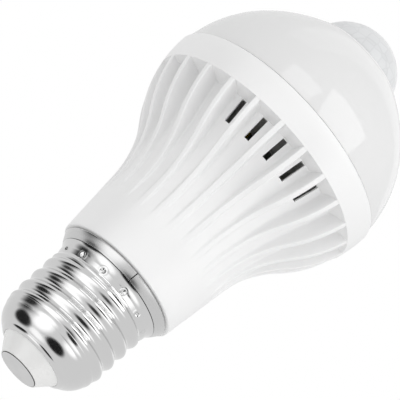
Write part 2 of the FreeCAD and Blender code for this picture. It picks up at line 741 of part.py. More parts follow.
def build_board_screws():
    """Two pan head screws with a cross recess, through the light board into the bosses."""
    screws = []
    for side, name in ((1, "left"), (-1, "right")):
        along = f"{side} * {SCREW_CIRCLE}"
        shank = primitive("Part::Cylinder", f"shank_{name}",
                          {"Radius": "dim.screw_radius - dim.screw_fit / 2", "Height": "dim.screw_length"},
                          ("0", along, f"{BOARD_TOP} - dim.screw_length"))
        head = primitive("Part::Cone", f"head_{name}",
                         {"Radius1": "dim.screw_head_radius", "Radius2": "dim.screw_head_radius * 0.75",
                          "Height": "dim.screw_head_height"}, ("0", along, BOARD_TOP))
        bars = []
        for length, width, bar in (("dim.recess_length", "dim.recess_width", "a"),
                                   ("dim.recess_width", "dim.recess_length", "b")):
            bars.append(primitive("Part::Box", f"recess_{name}_{bar}",
                                  {"Length": length, "Width": width, "Height": "dim.recess_depth"},
                                  (f"-{length} / 2", f"{along} - {width} / 2",
                                   f"{BOARD_TOP} + dim.screw_head_height - dim.recess_depth")))
        screws.append(subtract(f"screw_{name}", join(f"solid_{name}", [shank, head]),
                               join(f"recess_{name}", bars)))
    return group("board_screws", screws)


def build_sensor_post():
    bore = "dim.post_radius - dim.post_wall"
    foot = f"{BOARD_TOP} + dim.post_foot_height"
    outline = Outline(bore, BOARD_TOP)
    outline.line("dim.post_foot_radius", BOARD_TOP).line("dim.post_foot_radius", foot)
    outline.line("dim.post_radius", foot).line("dim.post_radius", POST_TOP).line(bore, POST_TOP)
    return turned_body("sensor_post", outline.close())


def build_sensor_board():
    return primitive("Part::Cylinder", "sensor_board",
                     {"Radius": "dim.sensor_board_radius", "Height": "dim.sensor_board_thickness"},
                     ("0", "0", POST_TOP))


def build_motion_sensor():
    """Round metal can with a flange and a filter window let into its top."""
    flange = f"{SENSOR_FACE} + dim.sensor_flange_height"
    top = f"({flange} + dim.sensor_can_height)"
    outline = Outline("0", SENSOR_FACE)
    outline.line("dim.sensor_flange_radius", SENSOR_FACE).line("dim.sensor_flange_radius", flange)
    outline.line("dim.sensor_can_radius", flange)
    outline.line("dim.sensor_can_radius", f"{top} - dim.sensor_can_round")
    outline.arc("dim.sensor_can_radius - dim.sensor_can_round", top, "dim.sensor_can_round", 1)
    outline.line("0", top)
    body = turned_body("sensor_can", outline.close())
    place = ("-dim.window_length / 2", "-dim.window_width / 2", f"{top} - dim.window_depth")
    pane = {"Length": "dim.window_length", "Width": "dim.window_width", "Height": "dim.window_depth"}
    primitive("PartDesign::SubtractiveBox", "window_recess", pane, place, body=body)
    doc.recompute()
    return primitive("Part::Box", "sensor_window", pane, place)


def build_photocell():
    return primitive("Part::Cylinder", "photocell",
                     {"Radius": "dim.photocell_radius", "Height": "dim.photocell_height"},
                     ("dim.photocell_place", "0", SENSOR_FACE))


def build_amplifier_chip():
    return primitive("Part::Box", "amplifier_chip",
                     {"Length": "dim.amplifier_length", "Width": "dim.amplifier_width",
                      "Height": "dim.amplifier_height"},
                     ("-dim.amplifier_length / 2", "-dim.amplifier_width / 2",
                      f"{POST_TOP} - dim.amplifier_height"))


def build_driver_board():
    return primitive("Part::Box", "driver_board",
                     {"Length": f"2 * {DRIVER_HALF_WIDTH}", "Width": "dim.driver_thickness",
                      "Height": "dim.driver_length"},
                     (f"-{DRIVER_HALF_WIDTH}", f"-{BOARD_FACE}", DRIVER_BASE))


def block_on_board(label, width, depth, length, place, face):
    """Block seated on the driver board's front (face 1) or back (face -1)."""
    along = BOARD_FACE if face > 0 else f"-{BOARD_FACE} - {depth}"
    return primitive("Part::Box", label, {"Length": width, "Width": depth, "Height": length},
                     (f"-{width} / 2", along, f"{DRIVER_BASE} + {place}"))


def wire_along(points, wire_radius):
    """Round wire along straight runs joined by tangent arcs."""
    route = [FreeCAD.Vector(*(number(formula) for formula in point)) for point in points]
    edges = []
    last = route[0]
    for before, corner, after in zip(route, route[1:], route[2:]):
        arriving = (corner - before).normalize()
        leaving = (after - corner).normalize()
        half_turn = arriving.getAngle(leaving) / 2
        shorter = min((corner - before).Length, (after - corner).Length)
        reach = min(0.45 * shorter, number("dim.lead_bend_limit") * math.tan(half_turn))
        start = corner - arriving * reach
        end = corner + leaving * reach
        inward = (leaving - arriving).normalize()
        radius = reach / math.tan(half_turn)
        middle = corner + inward * (radius / math.cos(half_turn) - radius)
        edges.append(Part.LineSegment(last, start).toShape())
        edges.append(Part.Arc(start, middle, end).toShape())
        last = end
    edges.append(Part.LineSegment(last, route[-1]).toShape())
    spine = Part.Wire(edges)
    direction = route[1] - route[0]
    ring = Part.Wire([Part.Circle(route[0], direction, number(wire_radius)).toShape()])
    return spine.makePipeShell([ring], True, False)


def bent_leg(name, points):
    leg = doc.addObject("Part::Feature", name)
    leg.Shape = wire_along(points, "dim.leg_radius")
    return leg


def build_bulk_capacitor():
    """Electrolytic can lying on the board, with two legs bent into it."""
    axis = f"({BOARD_FACE} + dim.bulk_radius)"
    base = f"({DRIVER_BASE} + dim.bulk_place)"
    can = primitive("Part::Cylinder", "bulk_can", {"Radius": "dim.bulk_radius", "Height": "dim.bulk_length"},
                    ("0", axis, base))
    pieces = [can]
    for side, name in ((1, "plus"), (-1, "minus")):
        across = f"{side} * dim.leg_spacing / 2"
        pieces.append(bent_leg(f"bulk_leg_{name}", [
            (across, axis, f"{base} + dim.leg_length"),
            (across, axis, f"{base} - dim.leg_length"),
            (across, BOARD_FACE, f"{base} - dim.leg_length")]))
    return join("bulk_capacitor", pieces)


def build_transformer():
    """Ferrite frame with a middle leg, and the coil wound round that leg."""
    base = f"({DRIVER_TOP} - dim.core_below_top)"
    near = f"({BOARD_FACE} + dim.coil_overhang)"
    window_length = "(dim.core_length - 2 * dim.core_yoke)"
    window_width = "((dim.core_width - 3 * dim.core_leg) / 2)"
    frame = primitive("Part::Box", "core_block",
                      {"Length": "dim.core_width", "Width": "dim.core_depth", "Height": "dim.core_length"},
                      ("-dim.core_width / 2", near, base))
    windows = []
    for side, start in (("left", f"-dim.core_leg / 2 - {window_width}"), ("right", "dim.core_leg / 2")):
        opening = {"Length": window_width, "Width": "dim.core_depth", "Height": window_length}
        windows.append(primitive("Part::Box", f"core_window_{side}", opening,
                                 (start, near, f"{base} + dim.core_yoke")))
    subtract("transformer_core", frame, group("core_windows", windows))
    half = f"(dim.core_leg / 2 + {window_width} - dim.coil_fit)"
    coil = primitive("Part::Box", "coil_block",
                     {"Length": f"2 * {half}", "Width": "dim.core_depth + 2 * dim.coil_overhang",
                      "Height": f"{window_length} - 2 * dim.coil_fit"},
                     (f"-{half}", BOARD_FACE, f"{base} + dim.core_yoke + dim.coil_fit"))
    bore = primitive("Part::Box", "coil_bore",
                     {"Length": "dim.core_leg + 2 * dim.coil_fit",
                      "Width": "dim.core_depth + 2 * dim.coil_fit", "Height": window_length},
                     ("-dim.core_leg / 2 - dim.coil_fit", f"{near} - dim.coil_fit",
                      f"{base} + dim.core_yoke"))
    return subtract("transformer_coil", coil, bore)


def build_back_parts():
    """What stands on the back of the driver board."""
    block_on_board("bridge_rectifier", "dim.bridge_width", "dim.bridge_height", "dim.bridge_length",
                   "dim.bridge_place", -1)
    block_on_board("controller_chip", "dim.chip_width", "dim.chip_height", "dim.chip_length",
                   "dim.chip_place", -1)
    primitive("Part::Cylinder", "output_capacitor",
              {"Radius": "dim.outlet_radius", "Height": "dim.outlet_height"},
              ("dim.outlet_side", f"-{BOARD_FACE}", f"{DRIVER_TOP} - dim.outlet_below_top"), UPRIGHT)
    axis = f"(-{BOARD_FACE} - dim.fuse_radius)"
    height = f"({DRIVER_BASE} + dim.fuse_place)"
    pieces = [primitive("Part::Cylinder", "fuse_body",
                        {"Radius": "dim.fuse_radius", "Height": "dim.fuse_length"},
                        ("-dim.fuse_length / 2", axis, height), ALONG_X)]
    for side, name in ((1, "right"), (-1, "left")):
        end = f"{side} * (dim.fuse_length / 2 + dim.leg_length)"
        pieces.append(bent_leg(f"fuse_leg_{name}", [
            (f"{side} * (dim.fuse_length / 2 - dim.leg_length)", axis, height),
            (end, axis, height),
            (end, f"-{BOARD_FACE}", height)]))
    return join("fuse_resistor", pieces)


def lead_piece(label, routes):
    piece = doc.addObject("Part::Feature", label)
    wires = [wire_along(route, "dim.lead_radius") for route in routes]
    piece.Shape = wires[0] if len(wires) == 1 else Part.Compound(wires)
    piece.Placement = FreeCAD.Placement()
    return piece


def build_leads():
    solder_top = "(dim.insulator_height + dim.eyelet_collar_thickness + dim.solder_height)"
    live_turn = f"({solder_top} + dim.live_rise)"
    lead_piece("live_lead", [[
        ("0", "0", solder_top),
        ("0", "0", live_turn),
        ("-dim.live_side", "dim.live_offset", f"{live_turn} + dim.live_climb"),
        ("-dim.live_side", "dim.live_offset", f"{DRIVER_BASE} + dim.live_pad_height"),
        ("-dim.live_side", BOARD_FACE, f"{DRIVER_BASE} + dim.live_pad_height")]])
    shell_inside = f"({SHOULDER_RADIUS} - 2 * dim.shell_wall)"
    rise = "(dim.insulator_height + dim.neutral_rise)"
    lead_piece("neutral_lead", [[
        ("dim.neutral_side", f"sqrt({shell_inside}^2 - dim.neutral_side^2)", rise),
        ("dim.neutral_side", "dim.neutral_offset", rise),
        ("dim.neutral_side", "dim.neutral_offset", f"{DRIVER_BASE} + dim.neutral_pad_height"),
        ("dim.neutral_side", BOARD_FACE, f"{DRIVER_BASE} + dim.neutral_pad_height")]])
    pad = f"({DRIVER_TOP} - dim.pad_below_top)"
    led_routes = []
    for side in (1, -1):
        across = f"{side} * dim.led_lead_side"
        led_routes.append([
            (across, BOARD_FACE, pad),
            (across, f"{BOARD_FACE} + dim.pad_stand_off", pad),
            (across, "dim.led_lead_offset", f"{DRIVER_TOP} + dim.lead_climb"),
            (across, "dim.led_lead_offset", f"{BOARD_TOP} + dim.lead_tip")])
    lead_piece("led_leads", led_routes)
    sensor_routes = []
    for mark in (-1, 0, 1):
        across = f"{mark} * dim.sensor_lead_pitch"
        sensor_routes.append([
            (across, f"-{BOARD_FACE}", pad),
            (across, f"-{BOARD_FACE} - dim.pad_stand_off", pad),
            (across, "-dim.sensor_lead_offset", f"{DRIVER_TOP} + dim.lead_climb"),
            (across, "-dim.sensor_lead_offset", POST_TOP)])
    return lead_piece("sensor_leads", sensor_routes)


NODES = [
    "centre_contact", "cap_insulator", "contact_solder", "screw_shell", "collar_ring", "housing",
    "globe", "sensor_lens", "led_board", "led_packages", "led_phosphors", "board_screws",
    "sensor_post", "sensor_board", "sensor_can", "sensor_window", "photocell", "amplifier_chip",
    "driver_board", "film_capacitor", "bulk_capacitor", "transformer_core", "transformer_coil",
    "output_capacitor", "bridge_rectifier", "controller_chip", "fuse_resistor", "live_lead",
    "neutral_lead", "led_leads", "sensor_leads",
]


def check_and_export():
    """Every object is sound and every piece valid before any file is written."""
    doc.recompute()
    for item in doc.Objects:
        if "Invalid" in item.State or "Error" in item.State:
            raise RuntimeError(f"{item.Name} failed: {item.State}")
    pieces = [doc.getObject(name) for name in NODES]
    for piece in pieces:
        shape = piece.Shape
        if shape.isNull() or not shape.isValid() or not shape.Solids:
            raise RuntimeError(f"{piece.Label} has no valid solid")
        print(f"{piece.Label}: {len(shape.Solids)} solids, {shape.Volume:.2f} mm3")
    for piece in pieces:
        piece.Shape.exportStep(f"parts/{piece.Label}.step")


build_centre_contact()
build_cap_insulator()
build_contact_solder()
build_screw_shell()
build_collar_ring()
build_housing()
build_globe()
build_sensor_lens()
build_led_board()
build_leds()
build_board_screws()
build_sensor_post()
build_sensor_board()
build_motion_sensor()
build_photocell()
build_amplifier_chip()
build_driver_board()
block_on_board("film_capacitor", "dim.film_width", "dim.film_height", "dim.film_length", "dim.film_place", 1)
build_bulk_capacitor()
build_transformer()
build_back_parts()
build_leads()
check_and_export()
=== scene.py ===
"""Looks of a motion sensor bulb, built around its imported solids.

Metres, +Z from the cap to the sensor lens, origin in the middle of the centre contact's face.
"""

import logging
import math
from bisect import bisect_right
from collections.abc import Sequence
from dataclasses import dataclass, field
from enum import Enum

import bmesh
import bpy
from mathutils import Matrix, Vector

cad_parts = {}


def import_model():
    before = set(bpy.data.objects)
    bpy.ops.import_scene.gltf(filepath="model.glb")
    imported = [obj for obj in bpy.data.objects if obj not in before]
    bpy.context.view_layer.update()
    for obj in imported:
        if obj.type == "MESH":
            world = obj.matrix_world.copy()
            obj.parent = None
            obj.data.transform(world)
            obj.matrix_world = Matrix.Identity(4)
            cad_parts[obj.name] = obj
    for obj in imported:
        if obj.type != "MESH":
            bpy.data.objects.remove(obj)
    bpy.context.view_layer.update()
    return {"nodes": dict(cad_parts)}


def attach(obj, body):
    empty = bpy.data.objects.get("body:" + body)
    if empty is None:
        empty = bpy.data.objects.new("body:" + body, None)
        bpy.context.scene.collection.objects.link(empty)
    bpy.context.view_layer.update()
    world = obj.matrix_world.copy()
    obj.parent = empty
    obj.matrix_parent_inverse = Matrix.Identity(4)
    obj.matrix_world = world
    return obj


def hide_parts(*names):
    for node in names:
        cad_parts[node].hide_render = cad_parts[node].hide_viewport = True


MM = 0.001
FULL_TURN = 2.0 * math.pi
# Wavelength of the wave texture at a scale of 1, in metres.
WAVE_LENGTH = 0.314
# The bulb's axis, as the spin operator takes it.
ABOUT_AXIS = {"cent": (0.0, 0.0, 0.0), "axis": (0.0, 0.0, 1.0)}
LOG = logging.getLogger("bulb")

Point = tuple[float, float]
# Angle in degrees, radius and height in mm.
Spot = tuple[float, float, float]
Tree = bpy.types.NodeTree
Socket = bpy.types.NodeSocket
Piece = bpy.types.Object


def linear(colour: str) -> tuple[float, float, float, float]:
    """Turns an sRGB hex colour into linear light.

    Args:
        colour: Six hex digits, such as "F2F2F0".

    Returns:
        Red, green and blue, with an opacity of 1.
    """
    def channel(value: float) -> float:
        """Linear light of one sRGB channel from 0 to 1."""
        return value / 12.92 if value <= 0.04045 else ((value + 0.055) / 1.055) ** 2.4

    red, green, blue = (channel(int(colour[i:i + 2], 16) / 255.0) for i in (0, 2, 4))
    return red, green, blue, 1.0


def smooth(low: float, high: float, value: float) -> float:
    """Smooth step of a value from 0 at low to 1 at high."""
    share = min(1.0, max(0.0, (value - low) / (high - low)))
    return share * share * (3.0 - 2.0 * share)


def add_node(tree: Tree, kind: str, settings: dict | None = None,
             links: dict | None = None) -> bpy.types.Node:
    """Adds a shader node with its settings and incoming links.

    Args:
        tree: Node tree that takes the node.
        kind: Type name of the node, after ShaderNode.
        settings: Values by property name, or by the number or name of an input socket.
        links: Output sockets by the number or name of the input socket that they feed.

    Returns:
        The new node.
    """
    node = tree.nodes.new("ShaderNode" + kind)
    for name, value in (settings or {}).items():
        if isinstance(name, str) and hasattr(node, name):
            setattr(node, name, value)
        else:
            node.inputs[name].default_value = value
    for name, source in (links or {}).items():
        tree.links.new(source, node.inputs[name])
    return node


def ramp(tree: Tree, value: Socket, span: Point, levels: Point = (0.0, 1.0)) -> Socket:
    """Level that goes from the first to the second while a value crosses its span."""
    ends = dict(zip(("From Min", "From Max", "To Min", "To Max"), (*span, *levels)))
    return add_node(tree, "MapRange", ends, {"Value": value}).outputs["Result"]


class Outline:
    """Half section of a turned piece: lines and arcs across (radius) and up (height), in mm."""

    def __init__(self, across: float, up: float, spacing: float = 0.6) -> None:
        """Starts the outline at a point, with the longest step that its arcs may take."""
        self.points: list[Point] = [(across, up)]
        self.spacing = spacing

    def line(self, across: float, up: float, spacing: float | None = None) -> "Outline":
        """Adds a straight run.

        Args:
            across: Radius at its end.
            up: Height at its end.
            spacing: Longest step along it, or None for a single step.

        Returns:
            The outline.
        """
        start = self.points[-1]
        length = math.dist(start, (across, up))
        steps = 1 if spacing is None else max(1, round(length / spacing))
        for step in range(1, steps + 1):
            share = step / steps
            self.points.append((start[0] + (across - start[0]) * share, start[1] + (up - start[1]) * share))
        return self

    def arc(self, across: float, up: float, radius: float, side: int) -> "Outline":
        """Adds an arc that bulges to the right (side 1) or left (side -1) of its chord.

        Args:
            across: Radius at its end.
            up: Height at its end.
            radius: Radius of the arc.
            side: 1 or -1.

        Returns:
            The outline.
        """
        start, end = Vector(self.points[-1]), Vector((across, up))
        chord = end - start
        right = Vector((chord.y, -chord.x)).normalized()
        depth = math.sqrt(max(radius ** 2 - chord.length_squared / 4.0, 0.0))
        centre = (start + end) / 2.0 - right * side * depth
        sweep = 2.0 * math.asin(min(1.0, chord.length / (2.0 * radius))) * side
        steps = max(3, math.ceil(abs(sweep) * radius / self.spacing))
        for step in range(1, steps + 1):
            spoke = Matrix.Rotation(sweep * step / steps, 2) @ (start - centre)
            self.points.append(tuple(centre + spoke))
        self.points[-1] = (across, up)
        return self

    def radius_at(self, up: float) -> float:
        """Radius of an outline that only climbs, at a height.

        Args:
            up: The height.

        Returns:
            The radius.
        """
        heights = [point[1] for point in self.points]
        place = min(max(bisect_right(heights, up), 1), len(heights) - 1)
        (low_r, low_z), (high_r, high_z) = self.points[place - 1], self.points[place]
        return low_r + (high_r - low_r) * (up - low_z) / (high_z - low_z)


def turned(points: Sequence[Point], steps: int) -> bmesh.types.BMesh:
    """Turns a closed half section about the bulb's axis.

    Args:
        points: Radius and height of each corner, in mm.
        steps: Number of steps round the axis.

    Returns:
        The mesh, in metres.
    """
    mesh = bmesh.new()
    corners = [mesh.verts.new((across * MM, 0.0, up * MM)) for across, up in points]
    edges = [mesh.edges.new(pair) for pair in zip(corners, corners[1:] + corners[:1])]
    bmesh.ops.spin(mesh, geom=corners + edges, angle=FULL_TURN, steps=steps, use_merge=True,
                   **ABOUT_AXIS)
    bmesh.ops.remove_doubles(mesh, verts=mesh.verts, dist=1e-7)
    return mesh


def finished(mesh: bmesh.types.BMesh, name: str) -> Piece:
    """Turns a mesh's faces outward and makes it a smooth-shaded object at the origin.

    Args:
        mesh: Mesh in metres, freed here.
        name: Name of the piece.

    Returns:
        The object, linked to the scene.
    """
    bmesh.ops.recalc_face_normals(mesh, faces=mesh.faces)
    for face in mesh.faces:
        face.smooth = True
    data = bpy.data.meshes.new(name)
    mesh.to_mesh(data)
    mesh.free()
    piece = bpy.data.objects.new(name, data)
    bpy.context.scene.collection.objects.link(piece)
    return piece


class Slot(Enum):
    """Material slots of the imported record."""

    CONTACT = "contact_steel"
    CAP = "cap_plastic"
    SOLDER = "solder"
    SHELL = "shell_nickel"
    RING = "ring_nickel"
    HOUSING = "housing_plastic"
    GLOBE = "globe_diffuser"
    LENS = "lens_polyethylene"
    LIGHT_BOARD = "board_aluminium"
    LED = "led_package"
    PHOSPHOR = "led_phosphor"
    SCREW = "screw_steel"
    POST = "post_plastic"
    CIRCUIT = "circuit_board"
    CAN = "can_steel"
    WINDOW = "filter_window"
    PHOTOCELL = "photocell_resin"
    CHIP = "chip_resin"
    FILM_BOX = "film_box"
    SLEEVE = "capacitor_sleeve"
    FERRITE = "ferrite"
    TAPE = "coil_tape"
    COAT = "resistor_coat"
    LEAD_RED = "lead_red"
    LEAD_BLACK = "lead_black"
    LEAD_WHITE = "lead_white"
    LEAD_YELLOW = "lead_yellow"


@dataclass(frozen=True)
class Finish:
    """Common parts of a finish: a principled surface with mottling and a fine relief."""

    name: str
    colour: str
    shade: str
    roughness: float
    grain_mm: float = 0.8
    relief_mm: float = 0.004
    metallic: float = 0.0
    ior: float = 1.5
    coat: float = 0.0
    patch_grains: float = 9.0
    wear_grains: float = 14.0
    wear_span: Point = (0.3, 0.7)
    handled: Point = (0.9, 1.15)

    def coordinates(self, tree: Tree) -> Socket:
        """Place on the piece, in metres."""
        return add_node(tree, "TexCoord").outputs["Object"]

    def mottle(self, tree: Tree, place: Socket, size_mm: float, detail: float = 4.0) -> Socket:
        """Cloudy noise whose patches have a real size in millimetres."""
        noise = add_node(tree, "TexNoise",
                         {"Scale": 1.0 / (size_mm * MM), "Detail": detail, "Roughness": 0.55},
                         {"Vector": place})
        return noise.outputs["Fac"]

    def colouring(self, tree: Tree, place: Socket) -> Socket:
        """Colour over the surface, between the finish's colour and its shade."""
        patches = self.mottle(tree, place, self.grain_mm * self.patch_grains)
        ends = {6: linear(self.colour), 7: linear(self.shade)}
        return add_node(tree, "Mix", {"data_type": "RGBA", **ends}, {"Factor": patches}).outputs[2]

    def gloss(self, tree: Tree, place: Socket) -> Socket:
        """Roughness over the surface, a little uneven as handled plastic or metal is."""
        wear = self.mottle(tree, place, self.grain_mm * self.wear_grains)
        return ramp(tree, wear, self.wear_span, tuple(self.roughness * share for share in self.handled))

    def bumped(self, tree: Tree, height: Socket, inward: bool = False) -> Socket:
        """Surface direction over a height as deep as the relief, standing out or let in."""
        bump = add_node(tree, "Bump",
                        {"Strength": 1.0, "Distance": self.relief_mm * MM, "invert": inward},
                        {"Height": height})
        return bump.outputs["Normal"]

    def relief(self, tree: Tree, place: Socket) -> Socket:
        """Surface direction with the finish's fine texture."""
        return self.bumped(tree, self.mottle(tree, place, self.grain_mm, 3.0))

    def special(self, tree: Tree, surface: bpy.types.Node, place: Socket) -> None:
        """Settings that only some finishes have."""

    def make(self) -> bpy.types.Material:
        """Builds the material.

        Returns:
            The material, named after the finish.
        """
        material = bpy.data.materials.new(self.name)
        material.use_nodes = True
        tree = material.node_tree
        tree.nodes.clear()
        place = self.coordinates(tree)
        surface = add_node(tree, "BsdfPrincipled",
                           {"Metallic": self.metallic, "IOR": self.ior, "Coat Weight": self.coat},
                           {"Base Color": self.colouring(tree, place), "Roughness": self.gloss(tree, place),
                            "Normal": self.relief(tree, place)})
        self.special(tree, surface, place)
        add_node(tree, "OutputMaterial", links={"Surface": surface.outputs["BSDF"]})
        material.diffuse_color = linear(self.colour)
        return material


@dataclass(frozen=True)
class MilkyPlastic(Finish):
    """Polycarbonate filled with diffusing powder: light enters, spreads and comes back grey-white."""

    depth_mm: float = 1.6
    glow: float = 0.35

    def special(self, tree: Tree, surface: bpy.types.Node, place: Socket) -> None:
        """Light that spreads inside the wall."""
        spread = {"Weight": self.glow, "Radius": (1.0, 1.0, 1.0), "Scale": self.depth_mm * MM}
        for name, value in spread.items():
            surface.inputs["Subsurface " + name].default_value = value


@dataclass(frozen=True)
class PlatedSheet(Finish):
    """Nickel plate on rolled sheet: a mirror with faint rolling marks round the cap."""

    marks_mm: float = 1.3
    marks_stretch: tuple[float, float, float] = (0.15, 0.15, 1.0)

    def relief(self, tree: Tree, place: Socket) -> Socket:
        """Faint waves from rolling, drawn out round the axis."""
        drawn = add_node(tree, "Mapping", {"Scale": self.marks_stretch}, {"Vector": place})
        return self.bumped(tree, self.mottle(tree, drawn.outputs["Vector"], self.marks_mm, 2.0))


@dataclass(frozen=True)
class TurnedDisc(Finish):
    """Tinned steel pressed flat: rings catch the light in a soft fan, and painted shade darkens the rim
    where the raised disc's side wall falls in shadow.
    """

    ring_mm: float = 0.25
    shaded_rim_mm: Point = (4.8, 4.86)
    rim_shade_colour: str = "3A3A3A"

    def colouring(self, tree: Tree, place: Socket) -> Socket:
        """Colour of the face, falling to dark grey at the rim as painted shade.

        Args:
            tree: The material's node tree.
            place: Place on the piece.

        Returns:
            The colour.
        """
        flat = add_node(tree, "VectorMath", {"operation": "MULTIPLY", 1: (1.0, 1.0, 0.0)}, {0: place})
        across = add_node(tree, "VectorMath", {"operation": "LENGTH"}, {0: flat.outputs["Vector"]})
        start, end = self.shaded_rim_mm
        # Painted shade: the colour falls to dark grey across the rim, where the raised disc's side wall is
        # in shadow.
        edge = ramp(tree, across.outputs["Value"], (start * MM, end * MM))
        rim_shaded = add_node(tree, "Mix", {"data_type": "RGBA", 7: linear(self.rim_shade_colour)},
                         {"Factor": edge, 6: super().colouring(tree, place)})
        return rim_shaded.outputs[2]

    def relief(self, tree: Tree, place: Socket) -> Socket:
        """Fine rings about the axis."""
        rings = add_node(tree, "TexWave",
                         {"wave_type": "RINGS", "rings_direction": "Z",
                          "Scale": WAVE_LENGTH / (self.ring_mm * MM),
                          "Distortion": 1.2, "Detail": 2.0, "Detail Scale": 1.5}, {"Vector": place})
        return self.bumped(tree, rings.outputs["Fac"])


@dataclass(frozen=True)
class LaminateBoard(Finish):
    """Glass-fibre board under a solder mask: weave below, bright tracks and pads above."""

    track: str = "3E8A4F"
    pitch_mm: float = 2.54
    disorder: float = 0.65
    track_edge: Point = (0.42, 0.46)

    def colouring(self, tree: Tree, place: Socket) -> Socket:
        """Mask with copper tracks that show through it as paler, squared runs.

        Args:
            tree: The material's node tree.
            place: Place on the piece.

        Returns:
            The colour.
        """
        cells = add_node(tree, "TexVoronoi",
                         {"distance": "MANHATTAN", "feature": "F1", "Scale": 1.0 / (self.pitch_mm * MM),
                          "Randomness": self.disorder}, {"Vector": place})
        edge = ramp(tree, cells.outputs["Distance"], self.track_edge)
        base = super().colouring(tree, place)
        mixed = add_node(tree, "Mix", {"data_type": "RGBA", 7: linear(self.track)},
                         {"Factor": edge, 6: base})
        return mixed.outputs[2]


@dataclass(frozen=True)
class WoundTape(Finish):
    """Polyester tape wound on a coil: laps show as fine lines across it."""

    lap_mm: float = 1.1

    def relief(self, tree: Tree, place: Socket) -> Socket:
        """Lap edges along the coil's axis."""
        laps = add_node(tree, "TexWave",
                        {"wave_type": "BANDS", "bands_direction": "Y", "wave_profile": "SAW",
                         "Scale": WAVE_LENGTH / (self.lap_mm * MM), "Distortion": 0.6}, {"Vector": place})
        return self.bumped(tree, laps.outputs["Fac"])


@dataclass(frozen=True)
class DarkPane(Finish):
    """Silicon filter pane: nearly black, with a smooth violet sheen."""

    film_nm: float = 420.0
    film_ior: float = 1.9

    def special(self, tree: Tree, surface: bpy.types.Node, place: Socket) -> None:
        """Thin interference coat on the pane."""
        surface.inputs["Thin Film Thickness"].default_value = self.film_nm
        surface.inputs["Thin Film IOR"].default_value = self.film_ior


@dataclass(frozen=True)
class SoftCard(Finish):
    """Card whose edge fades out, as one that stands out of focus: black felt, or a lit cloth."""

    core: float = 0.3
    glow: float = 0.0

    def special(self, tree: Tree, surface: bpy.types.Node, place: Socket) -> None:
        """Glow of the cloth, and opacity that falls from the middle of the card to its edge.

        Args:
            tree: The material's node tree.
            surface: The principled surface.
            place: Place on the piece; not used.
        """
        surface.inputs["Emission Color"].default_value = linear("FFFFFF")
        surface.inputs["Emission Strength"].default_value = self.glow
        sheet = add_node(tree, "TexCoord").outputs["UV"]
        half = 0.5
        away = add_node(tree, "VectorMath", {"operation": "DISTANCE", 1: (half, half, 0.0)}, {0: sheet})
        fade = add_node(tree, "MapRange",
                        {"interpolation_type": "SMOOTHSTEP", "From Min": self.core, "From Max": half,
                         "To Min": 1.0, "To Max": 0.0}, {"Value": away.outputs["Value"]})
        tree.links.new(fade.outputs["Result"], surface.inputs["Alpha"])


@dataclass(frozen=True)
class FacetedLens(MilkyPlastic):
    """Thin polyethylene over moulded lens cells, shown by painted shade along their seams and painted light
    that differs from cell to cell.
    """

    cell_mm: float = 2.6
    disorder: float = 0.35
    seam_shade_width: float = 0.09
    seam_shade_level: float = 0.93
    cell_light_levels: Point = (0.95, 1.03)

    def cells(self, tree: Tree, place: Socket, feature: str) -> bpy.types.Node:
        """Texture of the moulded cells."""
        size = {"Scale": 1.0 / (self.cell_mm * MM), "Randomness": self.disorder}
        return add_node(tree, "TexVoronoi", {"feature": feature, **size}, {"Vector": place})

    def colouring(self, tree: Tree, place: Socket) -> Socket:
        """Colour with painted shade along the seams and painted light that differs a little from cell to
        cell.

        Args:
            tree: The material's node tree.
            place: Place on the piece.

        Returns:
            The colour.
        """
        seam = self.cells(tree, place, "DISTANCE_TO_EDGE")
        tone = self.cells(tree, place, "F1")
        # Painted shade along the cells' seams, and painted light that differs from cell to cell.
        edge = ramp(tree, seam.outputs["Distance"], (0.0, self.seam_shade_width), (self.seam_shade_level, 1.0))
        grey = ramp(tree, tone.outputs["Color"], (0.0, 1.0), self.cell_light_levels)
        level = add_node(tree, "Math", {"operation": "MULTIPLY"}, {0: edge, 1: grey})
        shade = add_node(tree, "VectorMath", {"operation": "SCALE"},
                         {0: super().colouring(tree, place), "Scale": level.outputs["Value"]})
        return shade.outputs["Vector"]

    def relief(self, tree: Tree, place: Socket) -> Socket:
        """Cells that stand very slightly proud of their seams."""
        return self.bumped(tree, self.cells(tree, place, "SMOOTH_F1").outputs["Distance"], inward=True)


